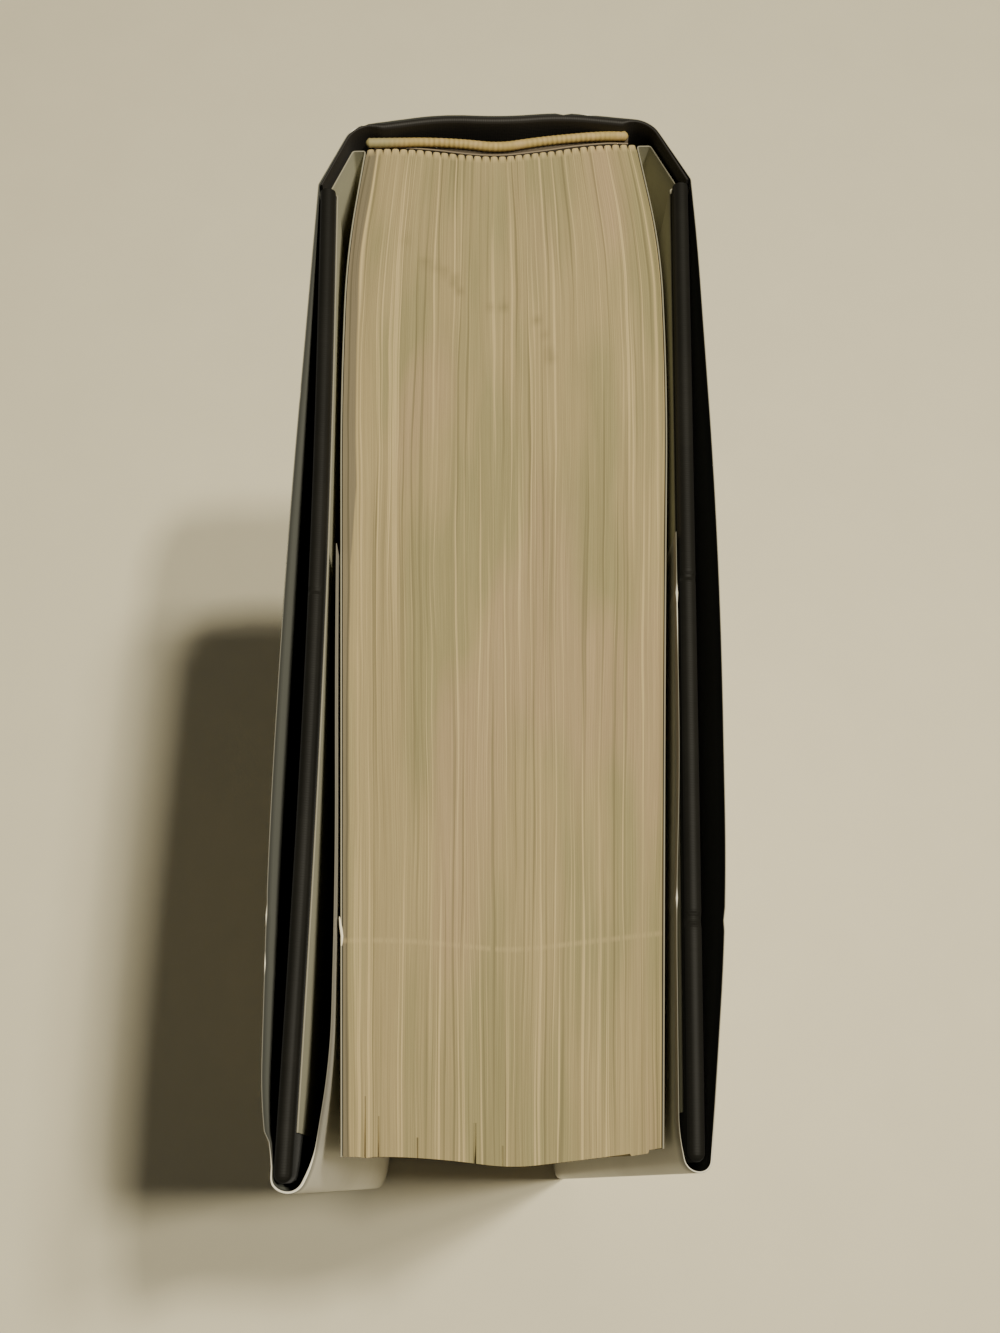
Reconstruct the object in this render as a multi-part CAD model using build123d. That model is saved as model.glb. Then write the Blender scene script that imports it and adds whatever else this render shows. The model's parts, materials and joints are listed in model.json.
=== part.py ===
"""Thick sewn hardcover book in a dust jacket, standing on its tail.

Millimetres, +Z up from tail to head, +Y towards the spine, the front cover at -X and the back cover at +X.
The origin is the centre of the footprint, on the surface that the book stands on.
"""
from build123d import *
import math
import os

# Case: two boards and a spine card in one cloth
cover_height = 241.0
board_thickness = 2.0
cloth_thickness = 0.2
edge_radius = 0.9
turn_in = 15.0
inlay_thickness = 0.8
inlay_inset = 5.2
shoulder_radius = 4.8
joint_setback = 9.2
joint_clearance = 0.7
hinge_reach = 1.4

# Pages
page_width = 155.2
square = 3.0
fore_square = 2.2
spine_thickness = 43.8
swell_thickness = 49.2
swell_drift = 0.4
fore_thickness = 40.8
fore_bulge = 1.8
signature_count = 33
fold_depth = 0.3
spine_dip = 2.05

# Linings, bands and endpapers
glue_gap = 0.03
mull_thickness = 0.25
mull_margin = 9.0
lining_thickness = 0.25
paper_thickness = 0.2
leaf_gap = 0.15
fold_radius = 0.3
hinge_slack = 0.45
pastedown_margin = 6.2
bead_diameter = 1.1
bead_flat_count = 12
band_tape_thickness = 0.25
band_tape_height = 10.0
band_margin = 1.3

# How the case sits round the pages
front_joint_room = 1.8
back_joint_room = 2.7
front_fore_room = 6.2
back_fore_room = 3.36
shoulder_reach = 2.1
shoulder_drop = 0.5
crown_lift = 2.0
hollow_lift = 1.3

# Dust jacket
jacket_thickness = 0.2
flap_length = 87.2
front_jacket_bulge = 2.75
back_jacket_bulge = 3.2
jacket_reach = 1.1
flap_clearance = 0.3

# Bands of the spine line that stay level, and where it dips, as shares of half the spine thickness
dip_edge_share = 0.69
dip_floor_share = 0.19

# Corners of the side of the pages, spine to fore-edge: share of the swell between the thinner ends, and share
# of the page width from its middle
swell_head_share = 0.374
swell_tail_share = 0.206
waist_share = -0.064
waist_thickness_share = 0.6
waist_drift_share = 0.5

# Crown of the case, as a share of the shoulder half width
crown_share = 0.4

# Slant of every line across the book: the front cover has slipped towards the fore-edge
slant_share = 0.047

# A bend takes this share of the shorter run beside it
bend_share = 0.48

# Corners of the jacket's panels: share of the cover width from the joint, share of the bulge
front_panel_shares = [(0.0, 0.04), (0.416, 0.84), (0.707, 1.0), (0.935, 0.7)]
back_panel_shares = [(0.0, 0.06), (0.08, 0.35), (0.43, 1.02), (0.782, 0.91), (0.972, 0.13)]

# Corners of the jacket's fold: share of its reach past the cover, share of the cover thickness
front_fold_shares = [(0.67, 1.0), (1.17, -0.35)]
back_fold_shares = [(1.17, 1.0), (0.99, -0.27)]

# Corners of the flaps: share of the flap length from the fore-edge, share of the room beside the pages
front_flap_shares = [(0.03, 0.46), (0.176, 0.86), (0.462, 0.98), (0.775, 0.95), (1.0, 1.0)]
back_flap_shares = [(0.041, 0.54), (0.384, 0.6), (0.59, 0.24), (1.0, 0.36)]

# Sizes that follow from the ones above
cover_thickness = board_thickness + 2 * cloth_thickness
cover_width = page_width + fore_square - joint_setback
page_height = cover_height - 2 * square
spine_line = page_width / 2
fore_line = -page_width / 2
joint_line = spine_line - joint_setback
fold_line = spine_line + fold_depth
overrun = cover_thickness
mull_back = fold_depth + glue_gap
mull_face = mull_back + mull_thickness
lining_face = mull_face + lining_thickness
band_face = lining_face + band_tape_thickness
case_layers = inlay_thickness + 2 * cloth_thickness
shoulder_rise = lining_face + bead_diameter + case_layers - shoulder_drop
crown_rise = shoulder_rise + crown_lift
hollow_rise = shoulder_rise + hollow_lift


def plan(x, y):
    """Point of the plan, slanted across the book."""
    return Vector(x, y + slant_share * x)


def normals(points):
    """Left normal of each straight run of a route."""
    runs = [(end - start).normalized() for start, end in zip(points, points[1:])]
    return [Vector(-run.Y, run.X) for run in runs]


def turn(before, after):
    """Angle from one run's normal to the next, in radians, positive to the left."""
    return math.atan2(before.X * after.Y - before.Y * after.X, before.dot(after))


def easy_radii(points):
    """Largest round bends that the runs of a route allow."""
    sides = normals(points)
    lengths = [(end - start).length for start, end in zip(points, points[1:])]
    radii = []
    for before, after, run, next_run in zip(sides, sides[1:], lengths, lengths[1:]):
        radii.append(bend_share * min(run, next_run) / math.tan(abs(turn(before, after)) / 2))
    return radii


def shifted(points, radii, distance):
    """The same route a distance to its left, with its bends kept concentric."""
    sides = normals(points)
    moved = [points[0] + sides[0] * distance]
    bends = []
    for point, radius, before, after in zip(points[1:-1], radii, sides, sides[1:]):
        moved.append(point + (before + after) * (distance / (1 + before.dot(after))))
        bends.append(radius - math.copysign(distance, turn(before, after) * distance))
    moved.append(points[-1] + sides[-1] * distance)
    return moved, bends


def route_line(points, radii):
    """Straight runs joined by round bends."""
    return FilletPolyline(*points, radius=radii)


def sheet(points, radii, near, far, bottom, top):
    """Upright sheet along a route, between two distances to its left."""
    inner, inner_radii = shifted(points, radii, near)
    outer, outer_radii = shifted(points, radii, far)
    outline = [
        route_line(inner, inner_radii),
        Line(inner[-1], outer[-1]),
        route_line(outer, outer_radii),
        Line(outer[0], inner[0]),
    ]
    return Pos(0, 0, bottom) * extrude(make_face(outline), top - bottom)


def upright_box(x_low, x_high, y_low, y_high, z_low, z_high):
    """Box between two corners."""
    size = (x_high - x_low, y_high - y_low, z_high - z_low)
    centre = ((x_low + x_high) / 2, (y_low + y_high) / 2, (z_low + z_high) / 2)
    return Pos(*centre) * Box(*size)


# Pages

spine_half = spine_thickness / 2
swell_half = swell_thickness / 2
fore_half = fore_thickness / 2
waist_half = fore_half + waist_thickness_share * (swell_half - fore_half)


def side_corners(side):
    """Half thickness of the pages on one side, and level, from the spine to the fore-edge."""
    drift = side * swell_drift
    return [
        (spine_half, spine_line),
        (swell_half + drift, swell_head_share * page_width),
        (swell_half + drift, swell_tail_share * page_width),
        (waist_half + drift * waist_drift_share, waist_share * page_width),
        (fore_half, fore_line),
    ]


def page_side(side):
    """Corners of one side of the pages in the plan, from the spine to the fore-edge."""
    return [plan(side * x, y) for x, y in side_corners(side)]


def page_half(side, level):
    """Half thickness of the pages on one side, at a level of the plan before its slant."""
    corners = side_corners(side)
    for (near, start), (far, end) in zip(corners, corners[1:]):
        if level >= end:
            return near + (far - near) * (start - level) / (start - end)
    return corners[-1][0]


def fold_route(reach):
    """Corners of the line of the folds, front to back, with its dip in the middle."""
    edge = dip_edge_share * spine_half
    floor = dip_floor_share * spine_half
    low = spine_line - spine_dip
    corners = [(edge, spine_line), (floor, low), (-floor, low), (-edge, spine_line)]
    across = [plan(-x, y) for x, y in corners]
    return [plan(-reach, spine_line)] + across + [plan(reach, spine_line)]


def signature_folds():
    """Scalloped spine edge: one round fold for each signature."""
    corners = fold_route(spine_half)
    line = route_line(corners, easy_radii(corners))
    folds = []
    for index in range(signature_count):
        start = line @ (index / signature_count)
        end = line @ ((index + 1) / signature_count)
        run = (end - start).normalized()
        crest = (start + end) / 2 + Vector(-run.Y, run.X) * fold_depth
        folds.append(ThreePointArc(start, crest, end))
    return folds


def build_text_block():
    """All the leaves, from the scalloped folds to the rounded fore-edge."""
    front_side = page_side(-1)
    back_side = page_side(1)
    fore_crest = plan(0, fore_line - fore_bulge)
    outline = signature_folds() + [
        route_line(back_side, easy_radii(back_side)),
        ThreePointArc(back_side[-1], fore_crest, front_side[-1]),
        route_line(front_side, easy_radii(front_side)),
    ]
    return Pos(0, 0, square) * extrude(make_face(outline), page_height)


# Case: places of the two covers

joint_reach = {-1: swell_half + front_joint_room, 1: swell_half + back_joint_room}
fore_reach = {-1: fore_half + front_fore_room, 1: fore_half + back_fore_room}
shoulder_half = spine_half + shoulder_reach


def cover_lean(side):
    """Angle by which a cover leans in towards the pages at the fore-edge, in radians."""
    return math.asin((joint_reach[side] - fore_reach[side]) / cover_width)


def cover_corner(side):
    """Inner face of a cover at its joint edge."""
    return plan(side * joint_reach[side], joint_line)


def cover_point(side, along, out):
    """Point of the plan from a cover's own sizes: along it from the joint, and out from its inner face."""
    lean = cover_lean(side)
    down = Vector(-side * math.sin(lean), -math.cos(lean))
    outward = Vector(side * math.cos(lean), -math.sin(lean))
    return cover_corner(side) + down * along + outward * out


def on_cover(side, shape):
    """Puts a shape drawn for the back cover, outward along +X and down along -Y, on one of the covers."""
    drawn = shape if side > 0 else mirror(shape, about=Plane.YZ)
    turned = Rot(0, 0, -side * math.degrees(cover_lean(side))) * drawn
    return Pos(*cover_corner(side)) * turned


# Case: spine and joints

def case_route():
    """Corners of the outer face of the cloth over joints and spine, front to back."""
    start = cover_point(-1, -joint_clearance, cover_thickness)
    end = cover_point(1, -joint_clearance, cover_thickness)
    crown = crown_share * shoulder_half
    corners = [
        plan(-shoulder_half, spine_line + shoulder_rise),
        plan(-crown, spine_line + crown_rise),
        plan(0, spine_line + hollow_rise),
        plan(crown, spine_line + crown_rise),
        plan(shoulder_half, spine_line + shoulder_rise),
    ]
    return [start] + corners + [end]


case_corners = case_route()
case_bends = easy_radii(case_corners)
case_bends[0] = shoulder_radius
case_bends[-1] = shoulder_radius


def case_sheet(outer, inner, bottom, top):
    """Sheet that follows the case, between two depths under the face of its cloth."""
    return sheet(case_corners, case_bends, -inner, -outer, bottom, top)


def inlay_route():
    """Corners and bends of the outer face of the spine card, between the two shoulders."""
    spine_corners, spine_bends = shifted(case_corners[1:-1], case_bends[1:-1], -cloth_thickness)
    first = spine_corners[0] + (spine_corners[1] - spine_corners[0]).normalized() * inlay_inset
    last = spine_corners[-1] + (spine_corners[-2] - spine_corners[-1]).normalized() * inlay_inset
    return [first] + spine_corners[1:-1] + [last], spine_bends


def build_spine_inlay():
    """Card stiffener of the spine."""
    corners, bends = inlay_route()
    return sheet(corners, bends, -inlay_thickness, 0, cloth_thickness, cover_height - cloth_thickness)


def build_spine_cloth(inlay):
    """Cloth over the spine and both joints, turned in round the card at head and tail."""
    outer_skin = case_sheet(0, cloth_thickness, 0, cover_height)
    corners, bends = inlay_route()
    cloth = outer_skin
    for bottom, top in ((0, turn_in), (cover_height - turn_in, cover_height)):
        cloth += case_sheet(0, 2 * cloth_thickness, bottom, top)
        cloth += sheet(corners, bends, -inlay_thickness - cloth_thickness, 0, bottom, top)
    return cloth - inlay


# Linings and bands on the folds

def joint_meet(side, depth, level):
    """Where the joint, at a depth under the face of its cloth, meets a level line of the plan."""
    corners = case_corners if side < 0 else case_corners[::-1]
    across = shifted(corners, [0] * len(corners[1:-1]), side * depth)[0]
    start = across[0]
    run = across[1] - start
    share = (level - start.Y + slant_share * start.X) / (run.Y - slant_share * run.X)
    return start, start + run * share


def build_spine_mull():
    """Gauze over the folds and out into both joints."""
    fold_corners = fold_route(spine_half)
    over_folds, fold_bends = shifted(fold_corners, easy_radii(fold_corners), mull_face)
    depth = 2 * cloth_thickness
    level = spine_line + mull_face
    front_end, front_corner = joint_meet(-1, depth, level)
    back_end, back_corner = joint_meet(1, depth, level)
    corners = [front_end, front_corner] + over_folds[1:-1] + [back_corner, back_end]
    joint_bends = [2 * mull_thickness]
    bottom = square + mull_margin
    return sheet(
        corners, joint_bends + fold_bends + joint_bends, -mull_thickness, 0, bottom, cover_height - bottom
    )


def band_sheet(near, far, bottom, top):
    """Sheet over the folds only, between two distances from their line."""
    corners = fold_route(spine_half - band_margin)
    return sheet(corners, easy_radii(corners), near, far, bottom, top)


def build_band(head):
    """Woven band: a round bead past the end of the folds, on a tape glued over the lining."""
    fold_corners = fold_route(spine_half - band_margin)
    corners, bends = shifted(fold_corners, easy_radii(fold_corners), lining_face + bead_diameter / 2)
    line = route_line(corners, bends)
    start = Plane(origin=line @ 0, z_dir=line % 0)
    page_end = cover_height - square if head else square
    way = 1 if head else -1
    bead = sweep(start * RegularPolygon(bead_diameter / 2, bead_flat_count), path=line)
    bead = Pos(0, 0, page_end + way * bead_diameter / 2) * bead
    tape_ends = sorted((page_end - way * band_tape_height, page_end + way * bead_diameter / 2))
    return band_sheet(lining_face, band_face, *tape_ends) + bead


def build_spine_lining():
    """Paper strip over the mull, as tall as the pages."""
    return band_sheet(mull_face, lining_face, square, cover_height - square)


# Endpapers

def build_flyleaf(side):
    """Loose leaf of a folded endpaper, from its edge in the joint, over the fold and down the pages."""
    half = paper_thickness / 2
    depth = 2 * cloth_thickness + mull_thickness + hinge_slack + half
    level = fold_line - half
    edge, joint_corner = joint_meet(side, depth, level)
    sides = page_side(side)
    leaf = shifted(sides, easy_radii(sides), side * (leaf_gap + half))[0]
    run = leaf[1] - leaf[0]
    share = (level - leaf[0].Y + slant_share * leaf[0].X) / (run.Y - slant_share * run.X)
    shoulder = leaf[0] + run * share
    corners = [edge, joint_corner, shoulder] + leaf[1:]
    bends = easy_radii(corners)
    bends[0] = 2 * fold_radius
    bends[1] = fold_radius
    return sheet(corners, bends, -half, half, square, cover_height - square)


def build_pastedown(side):
    """Half of an endpaper that is glued inside the cover, sunk into the window of the turned-in cloth."""
    leaf = upright_box(
        -paper_thickness, 0, -(cover_width - pastedown_margin), 0, square, cover_height - square
    )
    sunk = upright_box(
        0, cloth_thickness, -(cover_width - turn_in), 0, turn_in, cover_height - turn_in
    )
    return on_cover(side, leaf + sunk)


# Boards and their cloth

def rounded_slab(inset):
    """Cover with rounded head, tail and fore-edge, this far inside the face of the cloth."""
    slab = upright_box(
        inset, cover_thickness - inset, inset - cover_width, overrun, inset, cover_height - inset
    )
    slab = fillet(slab.edges(), edge_radius - inset)
    return slab & upright_box(0, cover_thickness, -cover_width, 0, 0, cover_height)


def build_board(side):
    """Grey board of a cover."""
    return on_cover(side, rounded_slab(cloth_thickness))


def build_cover_cloth(side):
    """Cloth round a board, turned in on three sides."""
    window = upright_box(
        -overrun, cloth_thickness, -(cover_width - turn_in), overrun, turn_in, cover_height - turn_in
    )
    return on_cover(side, rounded_slab(0) - rounded_slab(cloth_thickness) - window)


# Dust jacket

def build_jacket_spine():
    """Strip of the jacket over the spine and both joints."""
    return case_sheet(-jacket_thickness, 0, 0, cover_height)


def flap_point(side, along, share):
    """Place of a flap in its cover's sizes, at a share of the room between the endpapers."""
    half = jacket_thickness / 2
    inner_face = cover_point(side, along, 0)
    level = inner_face.Y - slant_share * inner_face.X
    room = side * inner_face.X - page_half(side, level) - leaf_gap - paper_thickness
    near = paper_thickness + half
    far = room - flap_clearance - half
    return along, -near - share * (far - near)


def build_jacket_cover(side, panel_shares, bulge, fold_shares, flap_shares):
    """Panel of the jacket, round the fore-edge and back inside the cover as a flap."""
    half = jacket_thickness / 2
    panel = [(along * cover_width, cover_thickness + half + out * bulge) for along, out in panel_shares]
    fold = [(cover_width + along * jacket_reach, out * cover_thickness) for along, out in fold_shares]
    flap = [flap_point(side, cover_width - along * flap_length, share) for along, share in flap_shares]
    corners = [Vector(out, -along) for along, out in panel + fold + flap]
    paper = sheet(corners, easy_radii(corners), -half, half, 0, cover_height)
    return on_cover(side, paper)


# Hinges of the covers

def hinge_point(side):
    """Plan point about which a cover swings: outside the cloth, beside the middle of the joint."""
    ends = case_corners[:2] if side < 0 else case_corners[-2:]
    middle = (ends[0] + ends[1]) / 2
    return middle + normals(ends)[0] * hinge_reach


text_block = build_text_block()
spine_inlay = build_spine_inlay()
nodes = {
    "text_block": text_block,
    "spine_mull": build_spine_mull(),
    "spine_lining": build_spine_lining(),
    "headband": build_band(True),
    "tailband": build_band(False),
    "front_flyleaf": build_flyleaf(-1),
    "back_flyleaf": build_flyleaf(1),
    "spine_inlay": spine_inlay,
    "spine_cloth": build_spine_cloth(spine_inlay),
    "jacket_spine": build_jacket_spine(),
    "front_board": build_board(-1),
    "front_cover_cloth": build_cover_cloth(-1),
    "front_pastedown": build_pastedown(-1),
    "jacket_front": build_jacket_cover(
        -1, front_panel_shares, front_jacket_bulge, front_fold_shares, front_flap_shares
    ),
    "back_board": build_board(1),
    "back_cover_cloth": build_cover_cloth(1),
    "back_pastedown": build_pastedown(1),
    "jacket_back": build_jacket_cover(
        1, back_panel_shares, back_jacket_bulge, back_fold_shares, back_flap_shares
    ),
}

# The origin goes to the centre of the footprint
boxes = [shape.bounding_box() for shape in nodes.values()]
middle_x = (min(box.min.X for box in boxes) + max(box.max.X for box in boxes)) / 2
middle_y = (min(box.min.Y for box in boxes) + max(box.max.Y for box in boxes)) / 2
to_centre = Pos(-middle_x, -middle_y, 0)

os.makedirs("parts", exist_ok=True)
for name, shape in nodes.items():
    export_step(to_centre * shape, f"parts/{name}.step")

for cover, side in (("front", -1), ("back", 1)):
    hinge = hinge_point(side) - Vector(middle_x, middle_y)
    print(f"{cover} cover swings about x {hinge.X:.3f}, y {hinge.Y:.3f}")
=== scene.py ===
"""Dressed model of a thick sewn hardcover book in its dust jacket, standing on its tail.

Metres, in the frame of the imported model: +Z up from tail to head, +Y towards the spine, front cover at -X.
"""
import json
import math

import bmesh
import bpy
import numpy as np
from bpy.props import FloatProperty, FloatVectorProperty, IntProperty, PointerProperty
from mathutils import Matrix, Vector


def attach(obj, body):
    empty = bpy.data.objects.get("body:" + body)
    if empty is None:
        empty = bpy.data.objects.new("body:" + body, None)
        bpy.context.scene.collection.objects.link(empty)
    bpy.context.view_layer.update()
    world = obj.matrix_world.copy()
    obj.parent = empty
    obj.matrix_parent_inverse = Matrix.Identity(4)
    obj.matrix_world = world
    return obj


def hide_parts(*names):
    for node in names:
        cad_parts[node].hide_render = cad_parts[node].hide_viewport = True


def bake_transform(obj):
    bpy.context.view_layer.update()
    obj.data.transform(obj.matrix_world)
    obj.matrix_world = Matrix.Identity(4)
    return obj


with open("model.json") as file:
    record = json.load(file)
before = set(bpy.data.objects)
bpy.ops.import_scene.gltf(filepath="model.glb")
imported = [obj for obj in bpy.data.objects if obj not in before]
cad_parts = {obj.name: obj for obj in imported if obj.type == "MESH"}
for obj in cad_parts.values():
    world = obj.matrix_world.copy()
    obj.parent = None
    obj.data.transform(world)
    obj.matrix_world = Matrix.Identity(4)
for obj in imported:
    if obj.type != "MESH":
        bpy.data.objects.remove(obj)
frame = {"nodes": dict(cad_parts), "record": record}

bl_info = {
    "name": "Hardcover book",
    "version": (1, 0, 0),
    "blender": (4, 5, 0),
    "location": "View3D > Sidebar > Book",
    "description": "Builds the jacket, covers, endpapers, pages and bands of a sewn hardcover book",
    "category": "Object",
}

MM = 0.001

# Sides of the book: the front cover at -X, the back cover at +X
FRONT, BACK = -1, 1
COVER_BODY = {FRONT: "front_cover", BACK: "back_cover"}
SIDE_NAME = {FRONT: "front", BACK: "back"}

# Case
COVER_HEIGHT = 241.0 * MM
COVER_THICKNESS = 2.4 * MM
CLOTH_THICKNESS = 0.2 * MM
CLOTH_PITCH = 0.36 * MM
INLAY_THICKNESS = 0.8 * MM
INLAY_INSET = 5.2 * MM
INLAY_EASE = 1.4 * MM
SHOULDER_RADIUS = 4.8 * MM
JOINT_SETBACK = 9.2 * MM
JOINT_CLEARANCE = 0.7 * MM
HINGE_REACH = 1.4 * MM

# Pages
PAGE_WIDTH = 155.2 * MM
SQUARE = 3.0 * MM
FORE_SQUARE = 2.2 * MM
SPINE_HALF = 21.9 * MM
SWELL_HALF = 24.6 * MM
SWELL_DRIFT = 0.4 * MM
FORE_HALF = 20.4 * MM
FOLD_DEPTH = 0.3 * MM

# Linings, bands and endpapers
GLUE_GAP = 0.03 * MM
MULL_THICKNESS = 0.25 * MM
MULL_MARGIN = 9.0 * MM
MULL_PITCH = 0.9 * MM
LINING_THICKNESS = 0.25 * MM
PAPER_THICKNESS = 0.2 * MM
LEAF_GAP = 0.15 * MM
FOLD_RADIUS = 0.3 * MM
HINGE_SLACK = 0.12 * MM
PASTEDOWN_MARGIN = 6.2 * MM
PASTEDOWN_SINK = 0.12 * MM
SINK_EASE = 0.8 * MM
TURN_IN = 15.0 * MM
BEAD_DIAMETER = 1.1 * MM
BEAD_VISIBLE = 1.6 * MM
THREAD_PITCH = 0.8 * MM
TAPE_THICKNESS = 0.25 * MM
TAPE_HEIGHT = 10.0 * MM
TAPE_LEAN = 1.8 * MM
BAND_MARGIN = 1.3 * MM

# How the case sits round the pages
JOINT_ROOM = {FRONT: 1.8 * MM, BACK: 2.7 * MM}
FORE_ROOM = {FRONT: 6.2 * MM, BACK: 3.36 * MM}
SHOULDER_REACH = 2.1 * MM
SHOULDER_DROP = 0.5 * MM
CROWN_LIFT = 2.0 * MM
HOLLOW_LIFT = 1.3 * MM

# Bow of the boards towards the pages
BOARD_BOW = {FRONT: 0.95 * MM, BACK: 0.0}
BOARD_LEAN = {FRONT: 0.0, BACK: 0.5 * MM}

# Dust jacket
FLAP_LENGTH = 87.2 * MM
JACKET_BULGE = {FRONT: 2.6 * MM, BACK: 3.2 * MM}
JACKET_REACH = 1.1 * MM
FLAP_CLEARANCE = 0.3 * MM
JOINT_CREASE = 1.5 * MM
JACKET_CLEARANCE = 0.08 * MM

# Shares, as in the solids
SWELL_HEAD_SHARE = 0.374
SWELL_TAIL_SHARE = 0.206
WAIST_SHARE = -0.064
WAIST_THICKNESS_SHARE = 0.6
WAIST_DRIFT_SHARE = 0.5
CROWN_SHARE = 0.4
SLANT_SHARE = 0.047
BEND_SHARE = 0.48
PANEL_SHARES = {
    FRONT: ((0.0, 0.04), (0.416, 0.84), (0.707, 1.0), (0.935, 0.7)),
    BACK: ((0.0, 0.06), (0.08, 0.35), (0.43, 1.02), (0.782, 0.91), (0.972, 0.13)),
}
FOLD_SHARES = {FRONT: ((0.67, 1.0), (1.17, -0.35)), BACK: ((1.17, 1.0), (0.99, -0.27))}
FLAP_SHARES = {
    FRONT: ((0.03, 0.46), (0.176, 0.86), (0.462, 0.98), (0.775, 0.95), (1.0, 1.0)),
    BACK: ((0.041, 0.54), (0.384, 0.6), (0.59, 0.24), (1.0, 0.36)),
}

# Line of the folds and of the bead: share of half the spine thickness, and offset from the spine line
FOLD_SHAPE = (
    (-1.0, 0.0), (-0.86, 0.25 * MM), (-0.57, -0.3 * MM), (-0.2, -1.6 * MM), (0.04, -1.75 * MM), (0.36, -0.9 * MM),
    (0.6, -0.1 * MM), (0.86, 0.3 * MM), (1.0, 0.1 * MM),
)
BEAD_SHAPE = (
    (-1.07, 1.25 * MM), (-0.58, 1.25 * MM), (-0.3, 0.75 * MM), (-0.03, -0.15 * MM), (0.36, 1.15 * MM),
    (0.74, 1.8 * MM), (1.0, 1.75 * MM),
)

# Fore-edge of the leaves as it has worn: share of half the thickness, and offset from the fore-edge line
FORE_SHAPE = (
    (-1.0, 0.75 * MM), (-0.65, 0.45 * MM), (-0.33, -0.3 * MM), (0.06, -1.65 * MM), (0.42, -1.15 * MM),
    (0.8, -0.6 * MM), (1.0, -0.15 * MM),
)

# Wear of the jacket's head edge, by places in the frame: thicker where the paper has frayed, and chipped away
WORN_EDGES = (
    (-27.4 * MM, -82.0 * MM, 0.10 * MM, 6 * MM), (-25.2 * MM, -79.5 * MM, 0.13 * MM, 4 * MM),
    (26.6 * MM, -80.5 * MM, 0.05 * MM, 6 * MM), (-25.1 * MM, 79.6 * MM, 0.12 * MM, 1.2 * MM),
    (25.5 * MM, -0.4 * MM, 0.16 * MM, 0.9 * MM), (25.4 * MM, -4.5 * MM, 0.02 * MM, 5 * MM),
    (23.3 * MM, -45.6 * MM, 0.12 * MM, 1.4 * MM), (13.6 * MM, 81.6 * MM, 0.08 * MM, 1.2 * MM),
    (-30.9 * MM, -47.7 * MM, 0.05 * MM, 0.6 * MM), (-30.9 * MM, -54.4 * MM, 0.05 * MM, 0.6 * MM),
)
JACKET_CHIPS = (
    (-31.0 * MM, -46.5 * MM, 0.5 * MM, 0.8 * MM), (-30.8 * MM, -54.0 * MM, 0.35 * MM, 0.6 * MM),
    (29.9 * MM, -48.5 * MM, 0.9 * MM, 0.9 * MM), (-22.6 * MM, 80.4 * MM, 0.4 * MM, 0.7 * MM),
    (10.0 * MM, 83.0 * MM, 0.35 * MM, 1.4 * MM), (-30.2 * MM, 30.0 * MM, 0.25 * MM, 0.7 * MM),
)

# Crease at the head of the front fold: its ends in the frame, depth, reach from the head, and the shares of its lips
CREASE_FROM, CREASE_TO = (-30.3 * MM, -74.6 * MM), (-28.3 * MM, -81.0 * MM)
CREASE_DEPTH = 0.45 * MM
CREASE_REACH = 30 * MM
CREASE_LIP_SHARE = 0.4
CREASE_BACK_SHARE = 0.25

# Waves of the jacket's panels: half waves along it, and where they rise and fade from the middle of the spine
BILLOW_WAVES, RIPPLE_WAVES = 9, 23
BILLOW_FROM, BILLOW_EASE = 40 * MM, 30 * MM
BILLOW_TO, BILLOW_FADE = 162 * MM, 20 * MM

# Ragged head edge of the jacket: depth, and the lengths of its two waves
FRAY_DEPTH = 0.03 * MM
FRAY_PITCH, FRAY_SPREAD = 0.9 * MM, 3.7 * MM

# Splits between leaves at the fore-edge: gathering, half width in gatherings, depth and reach from the fore-edge
PAGE_SPLITS = (
    (13.55, 0.14, 1.2 * MM, 3.6 * MM), (3.6, 0.12, 0.7 * MM, 4.2 * MM), (2.2, 0.1, 0.6 * MM, 7.0 * MM),
    (7.6, 0.1, 0.4 * MM, 3.0 * MM), (16.4, 0.1, 0.3 * MM, 2.5 * MM),
)
SCALLOP_DEPTH = 0.42 * MM
SCALLOP_REACH = 1.3 * MM
FOLD_ROLL = 0.35 * MM
FORE_SLANT = {FRONT: 4.2 * MM, BACK: 2.6 * MM}

# Slow waves of the head of the pages: height, waves to a gathering and start, and the room left under the head
LEAF_WAVES = ((0.02 * MM, 2.1, 0.3), (0.03 * MM, 0.9, 1.9), (0.015 * MM, 4.7, 4.0))
HEAD_ROOM = 0.07 * MM

# Leaves out of line at the fore-edge: share of the thickness where they start, and how far they stand out or back
PROUD_FROM, PROUD_DEPTH = 0.9, 0.3 * MM
SHORT_FROM, SHORT_DEPTH = 0.958, 0.39 * MM
LOOSE_PLACE, LOOSE_WIDTH, LOOSE_DEPTH = 0.07, 0.03, 0.12 * MM
STEP_REACH = 4 * MM

# Grid of the pages: steps across a gathering, down the head and up the walls, and how they crowd to the folds
GATHERING_STEPS = 10
HEAD_STEPS = 100
WALL_STEPS = 22
HEAD_CROWDING = 1.6

# Knocks on the head edge of the boards: side, place along the cover, half length and depth
BOARD_DENTS = (
    (BACK, 67.8 * MM, 0.9 * MM, 0.35 * MM), (BACK, 117.3 * MM, 1.3 * MM, 0.5 * MM),
    (FRONT, 68.2 * MM, 0.8 * MM, 0.2 * MM),
)

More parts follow.
